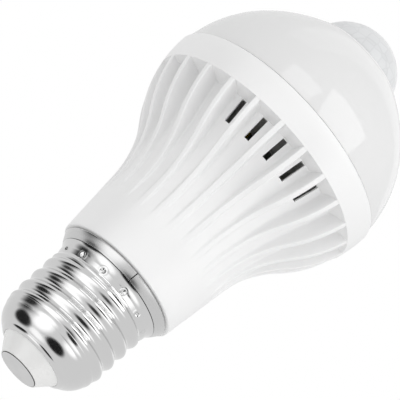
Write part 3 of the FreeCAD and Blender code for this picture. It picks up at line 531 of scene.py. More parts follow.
FINISHES: dict[Slot, Finish] = {
    # Injection-moulded white polycarbonate, semi-gloss: soft broad highlights, faint moulding mottle.
    Slot.HOUSING: Finish("moulded_polycarbonate", "F1F1F1", "EEEEEE", 0.34, 0.9, 0.0022, ior=1.585),
    # Glossy white thermoset of the cap: soft highlights on a smooth cone.
    Slot.CAP: Finish("pressed_thermoset", "EEEEED", "EAEAE9", 0.27, 0.5, 0.0012, ior=1.56, coat=0.1),
    # Nickel plate over brass sheet, pressed and rolled: a neutral mirror on the shell, and a softer
    # one on the ring.
    Slot.SHELL: PlatedSheet("rolled_nickel_plate", "DADADA", "D5D5D5", 0.12, 2.4, 0.0025, metallic=1.0),
    Slot.RING: PlatedSheet("bright_nickel_ring", "D3D3D3", "CECECE", 0.22, 2.4, 0.0025, metallic=1.0),
    # Tinned steel contact, pressed: satin grey with fine rings, and painted shade on its rim.
    Slot.CONTACT: TurnedDisc("pressed_tinned_steel", "D9D9D9", "CDCDCD", 0.3, 0.4, 0.0012, metallic=1.0),
    # Tin solder, frozen in a blob: dull and slightly pitted.
    Slot.SOLDER: Finish("frozen_solder", "B9BAC0", "A3A4A9", 0.38, 0.3, 0.01, metallic=1.0),
    # Diffusing polycarbonate of the globe, blow-moulded: milky grey-white under a smooth skin.
    Slot.GLOBE: MilkyPlastic("milky_polycarbonate", "E4E4E4", "E1E1E1", 0.07, 1.2, 0.002, ior=1.585),
    # High-density polyethylene of the lens, moulded thin: waxy and soft, a shade darker, with painted shade
    # on the seams of the lens cells and painted light that differs from cell to cell.
    Slot.LENS: FacetedLens("moulded_polyethylene", "DFE0E1", "DBDCDD", 0.3, 0.7, 0.05, ior=1.54,
                           depth_mm=0.8),
    # Aluminium plate under white solder mask: even white with tracks a little brighter.
    Slot.LIGHT_BOARD: LaminateBoard("white_masked_plate", "E9E9E4", "E2E2DC", 0.35, 0.6, 0.003,
                                    track="F6F6F2"),
    # Moulded lamp package and its phosphor in silicone: white round a glossy yellow pane.
    Slot.LED: Finish("moulded_lamp_package", "EFEFE8", "E6E6DE", 0.3, 0.3, 0.002),
    Slot.PHOSPHOR: Finish("phosphor_in_silicone", "EBC94C", "DDB63A", 0.22, 0.25, 0.004, ior=1.41, coat=0.4),
    # Zinc-plated steel screws, cold-headed: bluish grey with soft highlights.
    Slot.SCREW: Finish("zinc_plated_steel", "C3C5C8", "AEB0B3", 0.27, 0.4, 0.003, metallic=1.0),
    # White moulding that carries the sensor: satin, a shade darker than the housing.
    Slot.POST: Finish("moulded_sensor_tube", "E6E6E4", "E0E0DE", 0.42, 0.7, 0.004),
    # Glass-fibre laminate with green mask: dark green with paler tracks.
    Slot.CIRCUIT: LaminateBoard("masked_glass_laminate", "1E5B32", "1A4F2C", 0.3, 0.5, 0.003, ior=1.55),
    # Nickel-plated steel can of the sensor, deep-drawn, round its dark violet silicon filter.
    Slot.CAN: PlatedSheet("drawn_nickel_can", "CBCBC8", "C2C2BF", 0.16, 0.3, 0.001, metallic=1.0),
    Slot.WINDOW: DarkPane("coated_silicon_pane", "1B1720", "241D2C", 0.08, 0.5, 0.0006, ior=1.9),
    # Dark clear resin of the photocell: glossy and nearly black.
    Slot.PHOTOCELL: Finish("dark_cast_resin", "1C1C1F", "26262A", 0.12, 0.5, 0.001, coat=0.5),
    # Epoxy moulding compound of the chips: matt black with fine filler.
    Slot.CHIP: Finish("epoxy_moulding", "1D1D1E", "272728", 0.55, 0.15, 0.006),
    # Moulded box of the film capacitor: dark red-brown, half glossy, darkened as painted shade where it
    # shows through the vent slots.
    Slot.FILM_BOX: Finish("moulded_film_box", "5E261C", "532018", 0.3, 0.5, 0.003),
    # Shrunk vinyl sleeve on an aluminium can: blue-black and glossy.
    Slot.SLEEVE: Finish("shrunk_sleeve", "171A24", "1F2330", 0.24, 0.9, 0.004, coat=0.3),
    # Sintered manganese ferrite: charcoal grey, matt and fine-grained.
    Slot.FERRITE: Finish("sintered_ferrite", "2B2A2A", "363434", 0.5, 0.2, 0.008),
    # Polyester tape of the coil: dark olive with fine laps, darkened as painted shade where it shows through
    # the vent slots.
    Slot.TAPE: WoundTape("wound_polyester_tape", "4A4538", "3F3A2E", 0.25, 0.6, 0.05),
    # Flameproof coat of the resistor, dipped: grey-green and uneven.
    Slot.COAT: Finish("dipped_flameproof_coat", "3F6B47", "36603E", 0.5, 0.35, 0.01),
    # Silicone jackets of the leads, matt, and vinyl ones, smoother.
    Slot.LEAD_RED: Finish("silicone_jacket_red", "A81A14", "961510", 0.4, 0.4, 0.004, ior=1.41),
    Slot.LEAD_BLACK: Finish("silicone_jacket_black", "151515", "1D1D1D", 0.4, 0.4, 0.004, ior=1.41),
    Slot.LEAD_WHITE: Finish("vinyl_jacket_white", "DDDDDA", "D4D4D1", 0.32, 0.4, 0.004, ior=1.53),
    Slot.LEAD_YELLOW: Finish("vinyl_jacket_yellow", "D0A91E", "C49D18", 0.32, 0.4, 0.004, ior=1.53),
}


class Wardrobe:
    """Materials by slot, each built once."""

    def __init__(self) -> None:
        """Starts with nothing built."""
        self.built: dict[Slot, bpy.types.Material] = {}

    def material(self, slot: Slot) -> bpy.types.Material:
        """Material of a slot, built on first use."""
        if slot not in self.built:
            self.built[slot] = FINISHES[slot].make()
        return self.built[slot]

    def dress(self, piece: Piece, slot: Slot) -> None:
        """Gives a piece the one material of its slot."""
        piece.data.materials.clear()
        piece.data.materials.append(self.material(slot))


def mount(piece: Piece, slot: Slot, wardrobe: Wardrobe, *nodes: str) -> None:
    """Dresses a new piece, rides it on the bulb and lets it stand for solids.

    Args:
        piece: The new piece.
        slot: Slot that it takes its finish from.
        wardrobe: Materials by slot.
        nodes: Names of the solids that it replaces.
    """
    wardrobe.dress(piece, slot)
    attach(piece, "root")
    if nodes:
        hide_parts(*nodes)


@dataclass
class Part:
    """Modelled piece of the bulb, the solid it stands for and the angle that stays crisp."""

    name: str
    slot: Slot
    solid: str
    crisp: float = 35.0

    def shape(self) -> bmesh.types.BMesh:
        """Mesh of the piece, in metres."""
        raise NotImplementedError

    def build(self, wardrobe: Wardrobe) -> Piece:
        """Makes the piece and mounts it on the bulb.

        Args:
            wardrobe: Materials by slot.

        Returns:
            The finished piece.
        """
        piece = finished(self.shape(), self.name)
        piece.data.set_sharp_from_angle(angle=math.radians(self.crisp))
        mount(piece, self.slot, wardrobe, self.solid)
        return piece


@dataclass
class ScrewShell(Part):
    """Rolled and plated sheet with a right-handed thread, in mm."""

    name: str = "threaded_shell"
    slot: Slot = Slot.SHELL
    solid: str = "screw_shell"
    crisp: float = 50.0
    wall: float = 0.35
    lip_height: float = 3.8
    lip_radius: float = 7.95
    lip_edge: Point = (9.3, 0.75)
    lip_bend: float = 1.8
    lip_wall: float = 0.3
    shoulder: Point = (12.2, 8.2)
    shoulder_inset: float = 0.1
    dome: float = 6.0
    thread_foot: Point = (12.725, 9.87)
    foot_bend: float = 4.0
    crest_radius: float = 13.1
    root_radius: float = 12.32
    pitch: float = 3.629
    first_crest: float = 10.83
    crest_rise: float = 0.2
    crest_bend: float = 2.2
    thread_turn: float = 5.0
    run_in: Point = (-0.55, 0.35)
    run_out: Point = (-1.0, 0.4)
    thread_end: float = 22.9
    skirt: Point = (12.6, 23.87)
    skirt_bend: float = 1.6
    flare_foot: Point = (12.95, 24.97)
    flare_top: Point = (13.72, 26.86)
    flare_bend: float = 3.2
    clearance: float = 0.05
    end_slope: float = 0.1
    row: float = 0.13
    steps: int = 360
    dimples: int = 13
    dimple_turn: float = 7.4
    dimple_height: float = 24.7
    dimple_radius: float = 0.7
    dimple_depth: float = 0.42
    dimple_flat: float = 0.15
    burr_height: float = 0.06
    burr_place: float = 1.25
    burr_width: float = 0.28

    def base(self) -> Outline:
        """Outer line of the shell before its thread is rolled.

        Returns:
            The line, from the lip up.
        """
        line = Outline(self.lip_radius, self.lip_height, self.row)
        line.arc(self.lip_edge[0], self.lip_height + self.lip_edge[1], self.lip_bend, 1)
        line.arc(*self.shoulder, self.dome, 1)
        line.arc(*self.thread_foot, self.foot_bend, 1)
        line.arc(self.crest_radius, self.first_crest + self.crest_rise, self.crest_bend, 1)
        line.line(self.crest_radius, self.thread_end, self.row)
        line.arc(*self.skirt, self.skirt_bend, -1)
        line.line(*self.flare_foot, self.row)
        line.arc(*self.flare_top, self.flare_bend, -1)
        return line

    def rolled(self, radius: float, turn: float, up: float) -> float:
        """Radius after rolling the thread.

        Args:
            radius: Radius before rolling.
            turn: Angle about the axis, in turns.
            up: Height.

        Returns:
            The rolled radius.
        """
        phase = (up - self.first_crest) / self.pitch - turn
        wave = 0.5 + 0.5 * math.cos(FULL_TURN * phase)
        groove = (self.crest_radius - self.root_radius) * (1.0 - wave)
        start = smooth(*(self.first_crest + share * self.pitch for share in self.run_in), up)
        end = 1.0 - smooth(*(self.thread_end + way for way in self.run_out), up)
        return radius - groove * start * end

    def dimpled(self, radius: float, angle: float, up: float) -> float:
        """Radius after the crimping punches have struck.

        Args:
            radius: Radius before.
            angle: Angle about the axis, in degrees.
            up: Height.

        Returns:
            The struck radius.
        """
        step = 360.0 / self.dimples
        offset = (angle - self.dimple_turn + step / 2.0) % step - step / 2.0
        away = math.hypot(math.radians(offset) * radius, up - self.dimple_height) / self.dimple_radius
        pit = self.dimple_depth * (1.0 - smooth(self.dimple_flat, 1.0, away))
        burr = self.burr_height * math.exp(-((away - self.burr_place) / self.burr_width) ** 2)
        return radius - pit + burr

    def shape(self) -> bmesh.types.BMesh:
        """Spins the sheet, rolls the thread and strikes the dimples.

        Returns:
            The mesh, in metres.
        """
        outer = self.base().points
        bore = self.root_radius - self.wall - self.clearance
        inner = [(self.flare_top[0] - self.wall, self.flare_top[1] + self.end_slope),
                 (self.flare_foot[0] - self.wall, self.flare_foot[1]),
                 (bore, self.skirt[1]), (bore, self.thread_foot[1]),
                 (self.shoulder[0] - self.wall - self.shoulder_inset, self.shoulder[1]),
                 (self.lip_edge[0] - self.lip_wall, self.lip_height + self.lip_edge[1] + self.lip_wall),
                 (self.lip_radius, self.lip_height + self.wall)]
        mesh = turned(outer + inner, self.steps)
        top = self.flare_top[1] - self.end_slope
        for vert in mesh.verts:
            across, up = math.hypot(vert.co.x, vert.co.y) / MM, vert.co.z / MM
            angle = math.degrees(math.atan2(vert.co.y, vert.co.x)) % 360.0
            if across < bore + self.clearance or not self.shoulder[1] <= up <= top:
                continue
            if abs(across - self.flare_foot[0] + self.wall) < 1e-4:
                continue
            # The thread's zero lies five degrees before the X axis.
            radius = self.rolled(across, ((angle + self.thread_turn) % 360.0) / 360.0, up)
            radius = self.dimpled(radius, angle, up)
            vert.co.x *= radius / across
            vert.co.y *= radius / across
        return mesh


@dataclass
class CollarRing(Part):
    """Crowned ring between shell and housing, rounder at its upper edge, with a butt seam, in mm."""

    name: str = "seamed_ring"
    slot: Slot = Slot.RING
    solid: str = "collar_ring"
    inner: float = 13.0
    base: float = 27.0
    top: float = 29.36
    lower_radius: float = 13.95
    lower_edge: Point = (0.2, 0.15)
    lower_bend: float = 0.22
    upper_radius: float = 15.0
    upper_edge: Point = (0.4, 0.5)
    upper_bend: float = 0.52
    crown: float = 9.0
    wall: float = 0.4
    inset: float = 0.1
    seam_from: float = 1.9
    seam_to: float = 2.9
    steps: int = 180

    def shape(self) -> bmesh.types.BMesh:
        """Rolls the ring's section round the axis and closes its two ends.

        Returns:
            The mesh, in metres.
        """
        line = Outline(self.inner, self.base, 0.1)
        line.line(self.lower_radius - self.lower_edge[0], self.base)
        line.arc(self.lower_radius, self.base + self.lower_edge[1], self.lower_bend, 1)
        line.spacing = 0.2
        line.arc(self.upper_radius, self.top - self.upper_edge[1], self.crown, 1)
        line.spacing = 0.08
        line.arc(self.upper_radius - self.upper_edge[0], self.top, self.upper_bend, 1)
        line.line(self.inner, self.top).line(self.inner, self.top - self.wall)
        line.line(self.upper_radius - self.wall - self.upper_edge[0], self.top - self.wall)
        line.line(self.lower_radius - self.wall - self.inset, self.base + self.wall + self.inset)
        line.line(self.inner, self.base + self.wall)
        mesh = bmesh.new()
        corners = [mesh.verts.new((across * MM, 0.0, up * MM)) for across, up in line.points]
        section = mesh.faces.new(corners)
        bmesh.ops.rotate(mesh, verts=corners, cent=(0.0, 0.0, 0.0),
                         matrix=Matrix.Rotation(math.radians(self.seam_to), 3, "Z"))
        rolled = math.radians(360.0 - self.seam_to + self.seam_from)
        bmesh.ops.spin(mesh, geom=[section], angle=rolled, steps=self.steps, **ABOUT_AXIS)
        return mesh


@dataclass
class Housing(Part):
    """Ribbed, slotted moulding whose foot reaches down into the shell, in mm."""

    name: str = "ribbed_housing"
    slot: Slot = Slot.HOUSING
    solid: str = "housing"
    crisp: float = 38.0
    fins: int = 24
    fin_half: float = 0.65
    crest_round: float = 0.28
    draft: float = 0.06
    root_fillet: float = 0.5
    least_swing: float = 14.0
    land: float = 0.15
    foot: float = 29.42
    foot_radius: float = 15.67
    foot_edge: tuple[Point, ...] = ((12.94, 0.0), (15.35, 0.0), (15.55, 0.05), (15.64, 0.13))
    first_row: float = 0.3
    gap_start: Point = (16.6288, 39.52)
    waist: Point = (17.17, 45.22)
    flare_middle: Point = (22.87, 59.42)
    flare_bend: float = 27.0
    bell: Point = (28.5, 71.12)
    bell_bend: float = 29.7
    gap_foot: Point = (16.6, 46.22)
    gap_bend: float = 74.0
    gap_side: Point = (21.8, 65.02)
    gap_end_radius: float = 24.0
    rim_radius: float = 29.2
    rim_top: float = 77.92
    rim_crown: float = 26.4
    rim_edge: float = 0.45
    rim_bore: float = 27.3
    rim_bevel: float = 0.25
    shelf: float = 72.52
    wall: float = 1.4
    slot_half: float = 0.66
    slot_relief: float = 0.85
    slot_low: float = 64.97
    slot_high: float = 70.57
    slots_a_side: int = 5
    slot_lines: Point = (54.0, 63.0)
    row: float = 0.85
    neck_row: float = 1.8
    waist_row: float = 0.95
    top_row: float = 0.4
    ceiling_slope: float = 0.5
    ceiling_bend: float = 2.2
    ceiling_rows: tuple[float, ...] = (0.04, 0.12, 0.25, 0.5, 0.75, 0.92, 1.0)
    neck_wall: float = 1.8
    neck_rise: float = 1.6
    sleeve: tuple[Point, ...] = (
        (10.45, 9.87), (9.2, 9.87), (9.2, 7.0), (10.6, 7.0),
        (10.6, 9.87), (11.85, 9.87), (11.85, 27.01), (12.94, 27.01))

    def crest(self) -> Outline:
        """Line of the neck and the fins' crests, from the foot up to the rim."""
        neck = Outline(self.foot_radius, self.foot, self.row).line(*self.waist, self.row)
        return neck.arc(*self.flare_middle, self.flare_bend, -1).arc(*self.bell, self.bell_bend, 1)

    def floor(self) -> Outline:
        """Line of the gaps' floors, on the neck below them.

        Returns:
            The line, from the foot up.
        """
        line = Outline(self.foot_radius, self.foot, self.row)
        line.line(*self.gap_start, self.row)
        line.line(*self.gap_foot, self.row)
        line.arc(*self.gap_side, self.gap_bend, -1)
        return line.line(self.gap_end_radius, self.bell[1], self.row)

    def half_section(self, crest: float, floor: float, up: float) -> list[Point]:
        """Cross-section from the middle of a fin to the middle of a gap.

        Args:
            crest: Radius of the fin's crest.
            floor: Radius of the gap's floor.
            up: Height of the section.

        Returns:
            Angle in degrees and radius of each column.
        """
        depth = max(crest - floor, 0.0)
        rounds = self.crest_round + self.root_fillet
        swing = max(math.acos(max(0.0, 1.0 - depth / rounds)), math.radians(self.least_swing))
        inner = self.fin_half - self.crest_round * math.sin(swing)
        points = [(0.0, crest), (inner * 0.55, crest), (inner, crest)]
        for share in (1.0 / 3.0, 2.0 / 3.0, 1.0):
            drop = self.crest_round * (1.0 - math.cos(swing * share))
            points.append((inner + self.crest_round * math.sin(swing * share), crest - min(drop, depth)))
        root = self.fin_half + self.draft
        lift = self.root_fillet * (1.0 - math.cos(swing))
        points.append((self.fin_half + self.draft * 0.5, (points[-1][1] + floor + min(lift, depth)) / 2.0))
        for share in (1.0, 2.0 / 3.0, 1.0 / 3.0, 0.0):
            rise = self.root_fillet * (1.0 - math.cos(swing * share))
            reach = self.root_fillet * (math.sin(swing) - math.sin(swing * share))
            points.append((root + reach, floor + min(rise, depth)))
        columns = [(math.degrees(math.asin(aside / radius)), radius) for aside, radius in points]
        middle = 180.0 / self.fins
        half = self.land + (self.slot_half - self.land) * smooth(*self.slot_lines, up)
        edge = middle - math.degrees(math.asin(half / floor))
        last = columns[-1][0]
        columns += [(last + (edge - last) * share, floor) for share in (0.5, 1.0)]
        columns.append((middle, floor))
        return columns

    def section(self, crest: float, floor: float, up: float) -> list[Point]:
        """Cross-section from one fin's middle to the next one's."""
        half = self.half_section(crest, floor, up)
        return half + [(360.0 / self.fins - angle, radius) for angle, radius in reversed(half[:-1])]

    def outer_heights(self) -> list[float]:
        """Heights of the rows on the neck and in the gaps, with the slots' ends among them.

        Returns:
            The heights, from the foot up.
        """
        knots = [self.foot + self.first_row, self.gap_start[1], self.waist[1], self.slot_low,
                 self.slot_high, self.bell[1] - self.ceiling_slope]
        spacings = [self.neck_row, self.waist_row, self.row, self.row, self.top_row]
        heights = [knots[0]]
        for low, high, spacing in zip(knots, knots[1:], spacings):
            steps = max(1, round((high - low) / spacing))
            heights += [low + (high - low) * step / steps for step in range(1, steps + 1)]
        return heights

    def ceiling(self, last: list[Spot]) -> list[list[Spot]]:
        """Rows that close the gaps under the rim.

        Args:
            last: Row below them.

        Returns:
            The rows, the last of which is round.
        """
        top, bottom = self.bell[0], self.gap_end_radius
        start = max(radius for _, radius, _ in last)
        rows = []
        for share in self.ceiling_rows:
            rise = self.ceiling_slope * (1.0 - (1.0 - share) ** self.ceiling_bend)
            out = bottom + (top - bottom) * share
            rows.append([(angle, max(radius + (top - start) * share * (radius > start - 0.3), out),
                          self.bell[1] - self.ceiling_slope + rise) for angle, radius, _ in last])
        return rows

    def round_part(self) -> list[Point]:
        """Line of the parts that are round: rim, bore and the sleeve inside the shell.

        Returns:
            Radius and height of each corner, from the rim down.
        """
        line = Outline(*self.bell, 0.9)
        line.arc(self.rim_radius, self.rim_top - self.rim_edge, self.rim_crown, 1)
        line.spacing = 0.12
        line.arc(self.rim_radius - self.rim_edge, self.rim_top, self.rim_edge, 1)
        line.line(self.rim_bore + self.rim_bevel, self.rim_top)
        line.line(self.rim_bore, self.rim_top - self.rim_bevel)
        line.line(self.rim_bore, self.shelf)
        inside = self.gap_end_radius - self.wall
        line.line(inside, self.shelf)
        slope = (self.gap_end_radius - self.gap_side[0]) / (self.bell[1] - self.gap_side[1])
        for up in (self.slot_high, self.slot_low):
            line.line(inside + self.slot_relief - slope * (self.bell[1] - up), up)
        line.spacing = 3.0
        line.arc(self.gap_foot[0] - self.wall, self.gap_foot[1], self.gap_bend, 1)
        line.line(self.foot_radius - self.neck_wall, self.foot + self.neck_rise)
        line.line(self.sleeve[0][0], self.foot)
        for corner in self.sleeve:
            line.line(*corner)
        return line.points[1:]

    def rows(self) -> list[list[Spot]]:
        """Rows of the closed skin, from the foot up outside and down inside.

        Returns:
            Angle, radius and height of each column, by row.
        """
        crest, floor = self.crest(), self.floor()
        foot_edge = self.section(self.foot_radius, self.foot_radius, self.foot)
        rows = [[(angle, radius, self.foot + rise) for angle, _ in foot_edge]
                for radius, rise in self.foot_edge]
        for up in self.outer_heights():
            crest_radius, floor_radius = crest.radius_at(up), floor.radius_at(up)
            section = self.section(crest_radius, min(floor_radius, crest_radius), up)
            rows.append([(angle, radius, up) for angle, radius in section])
        rows += self.ceiling(rows[-1])
        rows += [[(angle, radius, up) for angle, _, _ in rows[-1]] for radius, up in self.round_part()]
        return rows

    def skin(self) -> bmesh.types.BMesh:
        """Reshapes a flat grid into one fin-to-fin sector and repeats it about the axis.

        Returns:
            The closed skin, in metres.
        """
        rows = self.rows()
        rows.append(rows[0])
        columns = len(rows[0])
        mesh = bmesh.new()
        grid = bmesh.ops.create_grid(mesh, x_segments=columns - 1, y_segments=len(rows) - 1, size=0.5)
        first = -180.0 / self.fins
        for vert in grid["verts"]:
            column = round((vert.co.x + 0.5) * (columns - 1))
            line = round((vert.co.y + 0.5) * (len(rows) - 1))
            angle, radius, up = rows[line][column]
            bend = math.radians(first + angle)
            vert.co = Vector((radius * math.cos(bend), radius * math.sin(bend), up)) * MM
        repeats = self.fins - 1
        bmesh.ops.spin(mesh, geom=mesh.faces[:], angle=FULL_TURN * repeats / self.fins, steps=repeats,
                       use_duplicate=True, **ABOUT_AXIS)
        bmesh.ops.remove_doubles(mesh, verts=mesh.verts, dist=2e-6)
        return mesh

    def open_slots(self, mesh: bmesh.types.BMesh) -> None:
        """Opens the vent slots through floor and inner wall, and walls them.

        Args:
            mesh: The closed skin.
        """
        step = 360.0 / self.fins
        reach = (self.slots_a_side - 1) // 2
        centres = [side + step * place for side in (0.0, 180.0) for place in range(-reach, reach + 1)]
        windows = []
        for face in mesh.faces:
            middle = face.calc_center_median() / MM
            if not self.slot_low < middle.z < self.slot_high:
                continue
            across = math.hypot(middle.x, middle.y)
            if across > self.gap_end_radius + 0.2:
                continue
            angle = math.degrees(math.atan2(middle.y, middle.x))
            for centre in centres:
                aside = math.radians((angle - centre + 180.0) % 360.0 - 180.0) * across
                if abs(aside) < self.slot_half:
                    windows.append(face)
        bmesh.ops.delete(mesh, geom=windows, context="FACES")
        for centre in centres:
            rim = []
            for edge in mesh.edges:
                if edge.is_boundary:
                    middle = edge.verts[0].co + edge.verts[1].co
                    angle = math.degrees(math.atan2(middle.y, middle.x))
                    if abs((angle - centre + 180.0) % 360.0 - 180.0) < step / 2.0:
                        rim.append(edge)
            bmesh.ops.bridge_loops(mesh, edges=rim)

    def shape(self) -> bmesh.types.BMesh:
        """Makes the moulding and opens its slots.

        Returns:
            The mesh, in metres.
        """
        mesh = self.skin()
        self.open_slots(mesh)
        return mesh


@dataclass
class SensorLens(Part):
    """Thin dome over the motion sensor, on a flange under the globe's edge, in mm."""

    name: str = "lens_dome"
    slot: Slot = Slot.LENS
    solid: str = "sensor_lens"
    radius: float = 11.45
    wall: float = 0.7
    seat: float = 100.34
    flange_radius: float = 12.9
    flange_wall: float = 0.8
    steps: int = 96

    def shape(self) -> bmesh.types.BMesh:
        """Turns the dome and its flange.

        Returns:
            The mesh, in metres.
        """
        base = self.seat - self.flange_wall
        line = Outline(self.flange_radius, base, 0.45)
        line.line(self.flange_radius, self.seat).line(self.radius, self.seat)
        line.arc(0.0, self.seat + self.radius, self.radius, 1)
        inner = Outline(0.0, self.seat + self.radius - self.wall, 0.9)
        inner.arc(self.radius - self.wall, self.seat, self.radius - self.wall, -1)
        inner.line(self.radius - self.wall, base)
        return turned(line.points + inner.points, self.steps)


@dataclass(frozen=True)
class Panel:
    """Sheet placed by its direction in the picture: right, up and towards the camera."""

    name: str
    right: float
    up: float
    near: float
    distance: float
    width: float
    height: float
    roll: float = 0.0


@dataclass(frozen=True)
class Softbox(Panel):
    """Area lamp that the camera does not see."""

    radiance: float = 1.0
    mirrored: bool = True
    lights: bool = True


@dataclass(frozen=True)
class Flag(Panel):
    """Dark card or, with a glow, lit cloth that only mirrors see."""

    shade: str = "0B0B0B"
    glow: float = 0.0
    core: float = 0.3


@dataclass
class Studio:
    """Camera, white surroundings, lamps, cards and cloths, in metres."""

    eye: Vector = field(default_factory=lambda: Vector((935.439, -81.840, -280.391)) * MM)
    right: Vector = field(default_factory=lambda: Vector((0.30702, 0.64639, 0.69851)))
    upward: Vector = field(default_factory=lambda: Vector((0.16107, -0.75866, 0.63126)))
    towards: Vector = field(default_factory=lambda: Vector((0.93797, -0.08130, -0.33704)))
    aim: Vector = field(default_factory=lambda: Vector((-0.066, -0.756, 55.759)) * MM)
    cap: Vector = field(default_factory=lambda: Vector((0.0, 0.0, 15.0)) * MM)
    focal: float = 416.99
    sensor_width: float = 36.0
    ambient: float = 0.77
    mirror_level: float = 0.85
    floor_height: float = -0.6
    floor_reach: float = 1.5
    boxes: tuple[Softbox, ...] = (
        Softbox("key_box", 0.894, 0.248, 0.372, 0.55, 0.41, 0.32, -61.0, 1.45),
        Softbox("top_box", 0.429, 0.772, 0.470, 0.6, 0.30, 0.18, -71.0, 1.1),
        Softbox("low_box", 0.421, -0.514, 0.748, 0.8, 0.63, 0.38, -37.0, 1.45, mirrored=False),
        Softbox("back_box", 0.50, 0.45, -0.74, 0.8, 1.4, 0.33, -80.5, 0.22, lights=False),
        Softbox("fill_box", -0.72, 0.62, 0.31, 0.9, 0.5, 0.5, 0.0, 0.9, mirrored=False),
        Softbox("foot_box", -0.35, -0.55, 0.76, 0.9, 0.6, 0.6, 0.0, 1.5, mirrored=False),
    )
    flags: tuple[Flag, ...] = (
        Flag("left_card", -0.973, 0.147, 0.177, 0.101, 0.091, 0.091),
        Flag("upper_card", -0.402, 0.913, 0.068, 0.3, 0.26, 0.20, 71.0),
        Flag("camera_card", -0.306, -0.566, 0.766, 0.103, 0.091, 0.091),
        Flag("window_cloth", -0.478, 0.287, 0.830, 0.8, 1.35, 0.85, 31.0, glow=1.5, core=0.2),
        Flag("low_cloth", 0.421, -0.514, 0.748, 0.8, 0.85, 0.55, -37.0, glow=1.5, core=0.15),
        Flag("cap_cloth", -0.85, -0.36, 0.38, 0.85, 0.62, 0.62, glow=1.4, core=0.15),
        Flag("skirt_card", -0.66, 0.73, 0.08, 0.2, 0.24, 0.24, shade="262626", core=0.08),
        Flag("grey_card", 0.689, 0.057, 0.722, 0.182, 0.130, 0.130, shade="242424"),
    )

    def hung(self, panel: Panel, target: Vector) -> Matrix:
        """Frame of a panel that looks at a target along -Z, upright in the picture and then rolled.

        Args:
            panel: Lamp or card.
            target: Place that it looks at.

        Returns:
            The frame, with the panel's middle as its origin.
        """
        back = (self.right * panel.right + self.upward * panel.up + self.towards * panel.near).normalized()
        side = self.upward.cross(back).normalized()
        turn = Matrix((side, back.cross(side), back)).transposed()
        turn @= Matrix.Rotation(math.radians(panel.roll), 3, "Z")
        return Matrix.Translation(target + back * panel.distance) @ turn.to_4x4()

    def set_camera(self) -> None:
        """Places the long lens that took the photograph."""
        data = bpy.data.cameras.new("camera")
        data.lens = self.focal
        data.sensor_width = self.sensor_width
        data.clip_end = 10.0
        camera = bpy.data.objects.new("camera", data)
        turn = Matrix((self.right, self.upward, self.towards)).transposed()
        camera.matrix_world = Matrix.Translation(self.eye) @ turn.to_4x4()
        bpy.context.scene.collection.objects.link(camera)
        bpy.context.scene.camera = camera

    def set_world(self) -> None:
        """White behind the bulb, soft grey light round it."""
        world = bpy.data.worlds.new("white_room")
        world.use_nodes = True
        tree = world.node_tree
        tree.nodes.clear()
        path = add_node(tree, "LightPath")
        through = add_node(tree, "Math", {"operation": "MAXIMUM"},
                           {0: path.outputs["Is Camera Ray"], 1: path.outputs["Is Transmission Ray"]})
        room = add_node(tree, "Mix", {"data_type": "FLOAT", 2: self.ambient, 3: self.mirror_level},
                        {"Factor": path.outputs["Is Glossy Ray"]})
        level = add_node(tree, "Mix", {"data_type": "FLOAT", 3: 1.0},
                         {"Factor": through.outputs["Value"], 2: room.outputs[0]})
        light = add_node(tree, "Background", {"Color": linear("FFFFFF")}, {"Strength": level.outputs[0]})
        add_node(tree, "OutputWorld", links={"Surface": light.outputs["Background"]})
        bpy.context.scene.world = world

    def add_boxes(self) -> None:
        """Hangs the softboxes."""
        for box in self.boxes:
            data = bpy.data.lights.new(box.name, "AREA")
            data.shape = "RECTANGLE"
            data.size = box.width
            data.size_y = box.height
            data.energy = box.radiance * math.pi * box.width * box.height
            lamp = bpy.data.objects.new(box.name, data)
            lamp.matrix_world = self.hung(box, self.aim)
            lamp.visible_camera = False
            lamp.visible_glossy = box.mirrored
            lamp.visible_diffuse = box.lights
            bpy.context.scene.collection.objects.link(lamp)

    def add_flags(self) -> None:
        """Stands the dark cards and the lit cloths that the bright metal mirrors."""
        for flag in self.flags:
            mesh = bmesh.new()
            mesh.loops.layers.uv.new("sheet")
            bmesh.ops.create_grid(mesh, x_segments=1, y_segments=1, size=0.5, calc_uvs=True)
            bmesh.ops.scale(mesh, vec=(flag.width, flag.height, 1.0), verts=mesh.verts)
            bmesh.ops.transform(mesh, matrix=self.hung(flag, self.cap), verts=mesh.verts)
            card = finished(mesh, flag.name)
            felt = SoftCard(flag.name, flag.shade, flag.shade, 0.9, 0.6, 0.01, core=flag.core,
                            glow=flag.glow)
            card.data.materials.append(felt.make())
            card.visible_camera = False
            card.visible_diffuse = False
            card.visible_shadow = False
            card.visible_transmission = False

    def add_floor(self) -> None:
        """Lays a white floor under the bulb."""
        mesh = bmesh.new()
        bmesh.ops.create_grid(mesh, x_segments=1, y_segments=1, size=self.floor_reach)
        bmesh.ops.translate(mesh, vec=(0.0, 0.0, self.floor_height), verts=mesh.verts)
        floor = finished(mesh, "white_floor")
        floor.data.materials.append(Finish("white_paper", "F4F4F4", "F0F0F0", 0.8, 2.0, 0.01).make())
        floor.visible_glossy = False
        floor.visible_camera = False

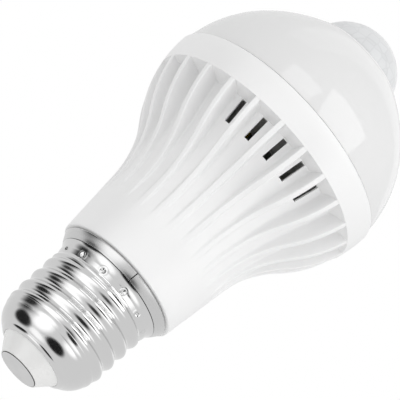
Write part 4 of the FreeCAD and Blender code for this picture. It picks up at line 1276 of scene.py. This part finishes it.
    def build(self) -> None:
        """Sets up camera, world, lamps, cards, cloths and floor."""
        self.set_camera()
        self.set_world()
        self.add_boxes()
        self.add_flags()
        self.add_floor()
        bpy.context.scene.view_settings.view_transform = "Standard"


CARRIED: dict[str, Slot] = {
    "centre_contact": Slot.CONTACT,
    "cap_insulator": Slot.CAP,
    "contact_solder": Slot.SOLDER,
    "globe": Slot.GLOBE,
    "led_board": Slot.LIGHT_BOARD,
    "led_packages": Slot.LED,
    "led_phosphors": Slot.PHOSPHOR,
    "board_screws": Slot.SCREW,
    "sensor_post": Slot.POST,
    "sensor_board": Slot.CIRCUIT,
    "driver_board": Slot.CIRCUIT,
    "sensor_can": Slot.CAN,
    "sensor_window": Slot.WINDOW,
    "photocell": Slot.PHOTOCELL,
    "amplifier_chip": Slot.CHIP,
    "bridge_rectifier": Slot.CHIP,
    "controller_chip": Slot.CHIP,
    "film_capacitor": Slot.FILM_BOX,
    "bulk_capacitor": Slot.SLEEVE,
    "output_capacitor": Slot.SLEEVE,
    "transformer_core": Slot.FERRITE,
    "transformer_coil": Slot.TAPE,
    "fuse_resistor": Slot.COAT,
    "live_lead": Slot.LEAD_RED,
    "neutral_lead": Slot.LEAD_BLACK,
    "led_leads": Slot.LEAD_WHITE,
    "sensor_leads": Slot.LEAD_YELLOW,
}


def dress_solids(nodes: dict[str, Piece], wardrobe: Wardrobe) -> None:
    """Gives every solid that stays its finish.

    Args:
        nodes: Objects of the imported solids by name.
        wardrobe: Materials by slot.
    """
    for name, slot in CARRIED.items():
        wardrobe.dress(nodes[name], slot)
        LOG.info("%s wears %s", name, slot.value)


def main() -> None:
    """Builds the bulb's looks round its solids."""
    logging.basicConfig(level=logging.INFO, format="%(name)s: %(message)s")
    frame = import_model()
    wardrobe = Wardrobe()
    dress_solids(frame["nodes"], wardrobe)
    for part in (ScrewShell(), CollarRing(), Housing(), SensorLens()):
        piece = part.build(wardrobe)
        LOG.info("%s: %d faces", piece.name, len(piece.data.polygons))
    Studio().build()


if __name__ == "__main__":
    main()
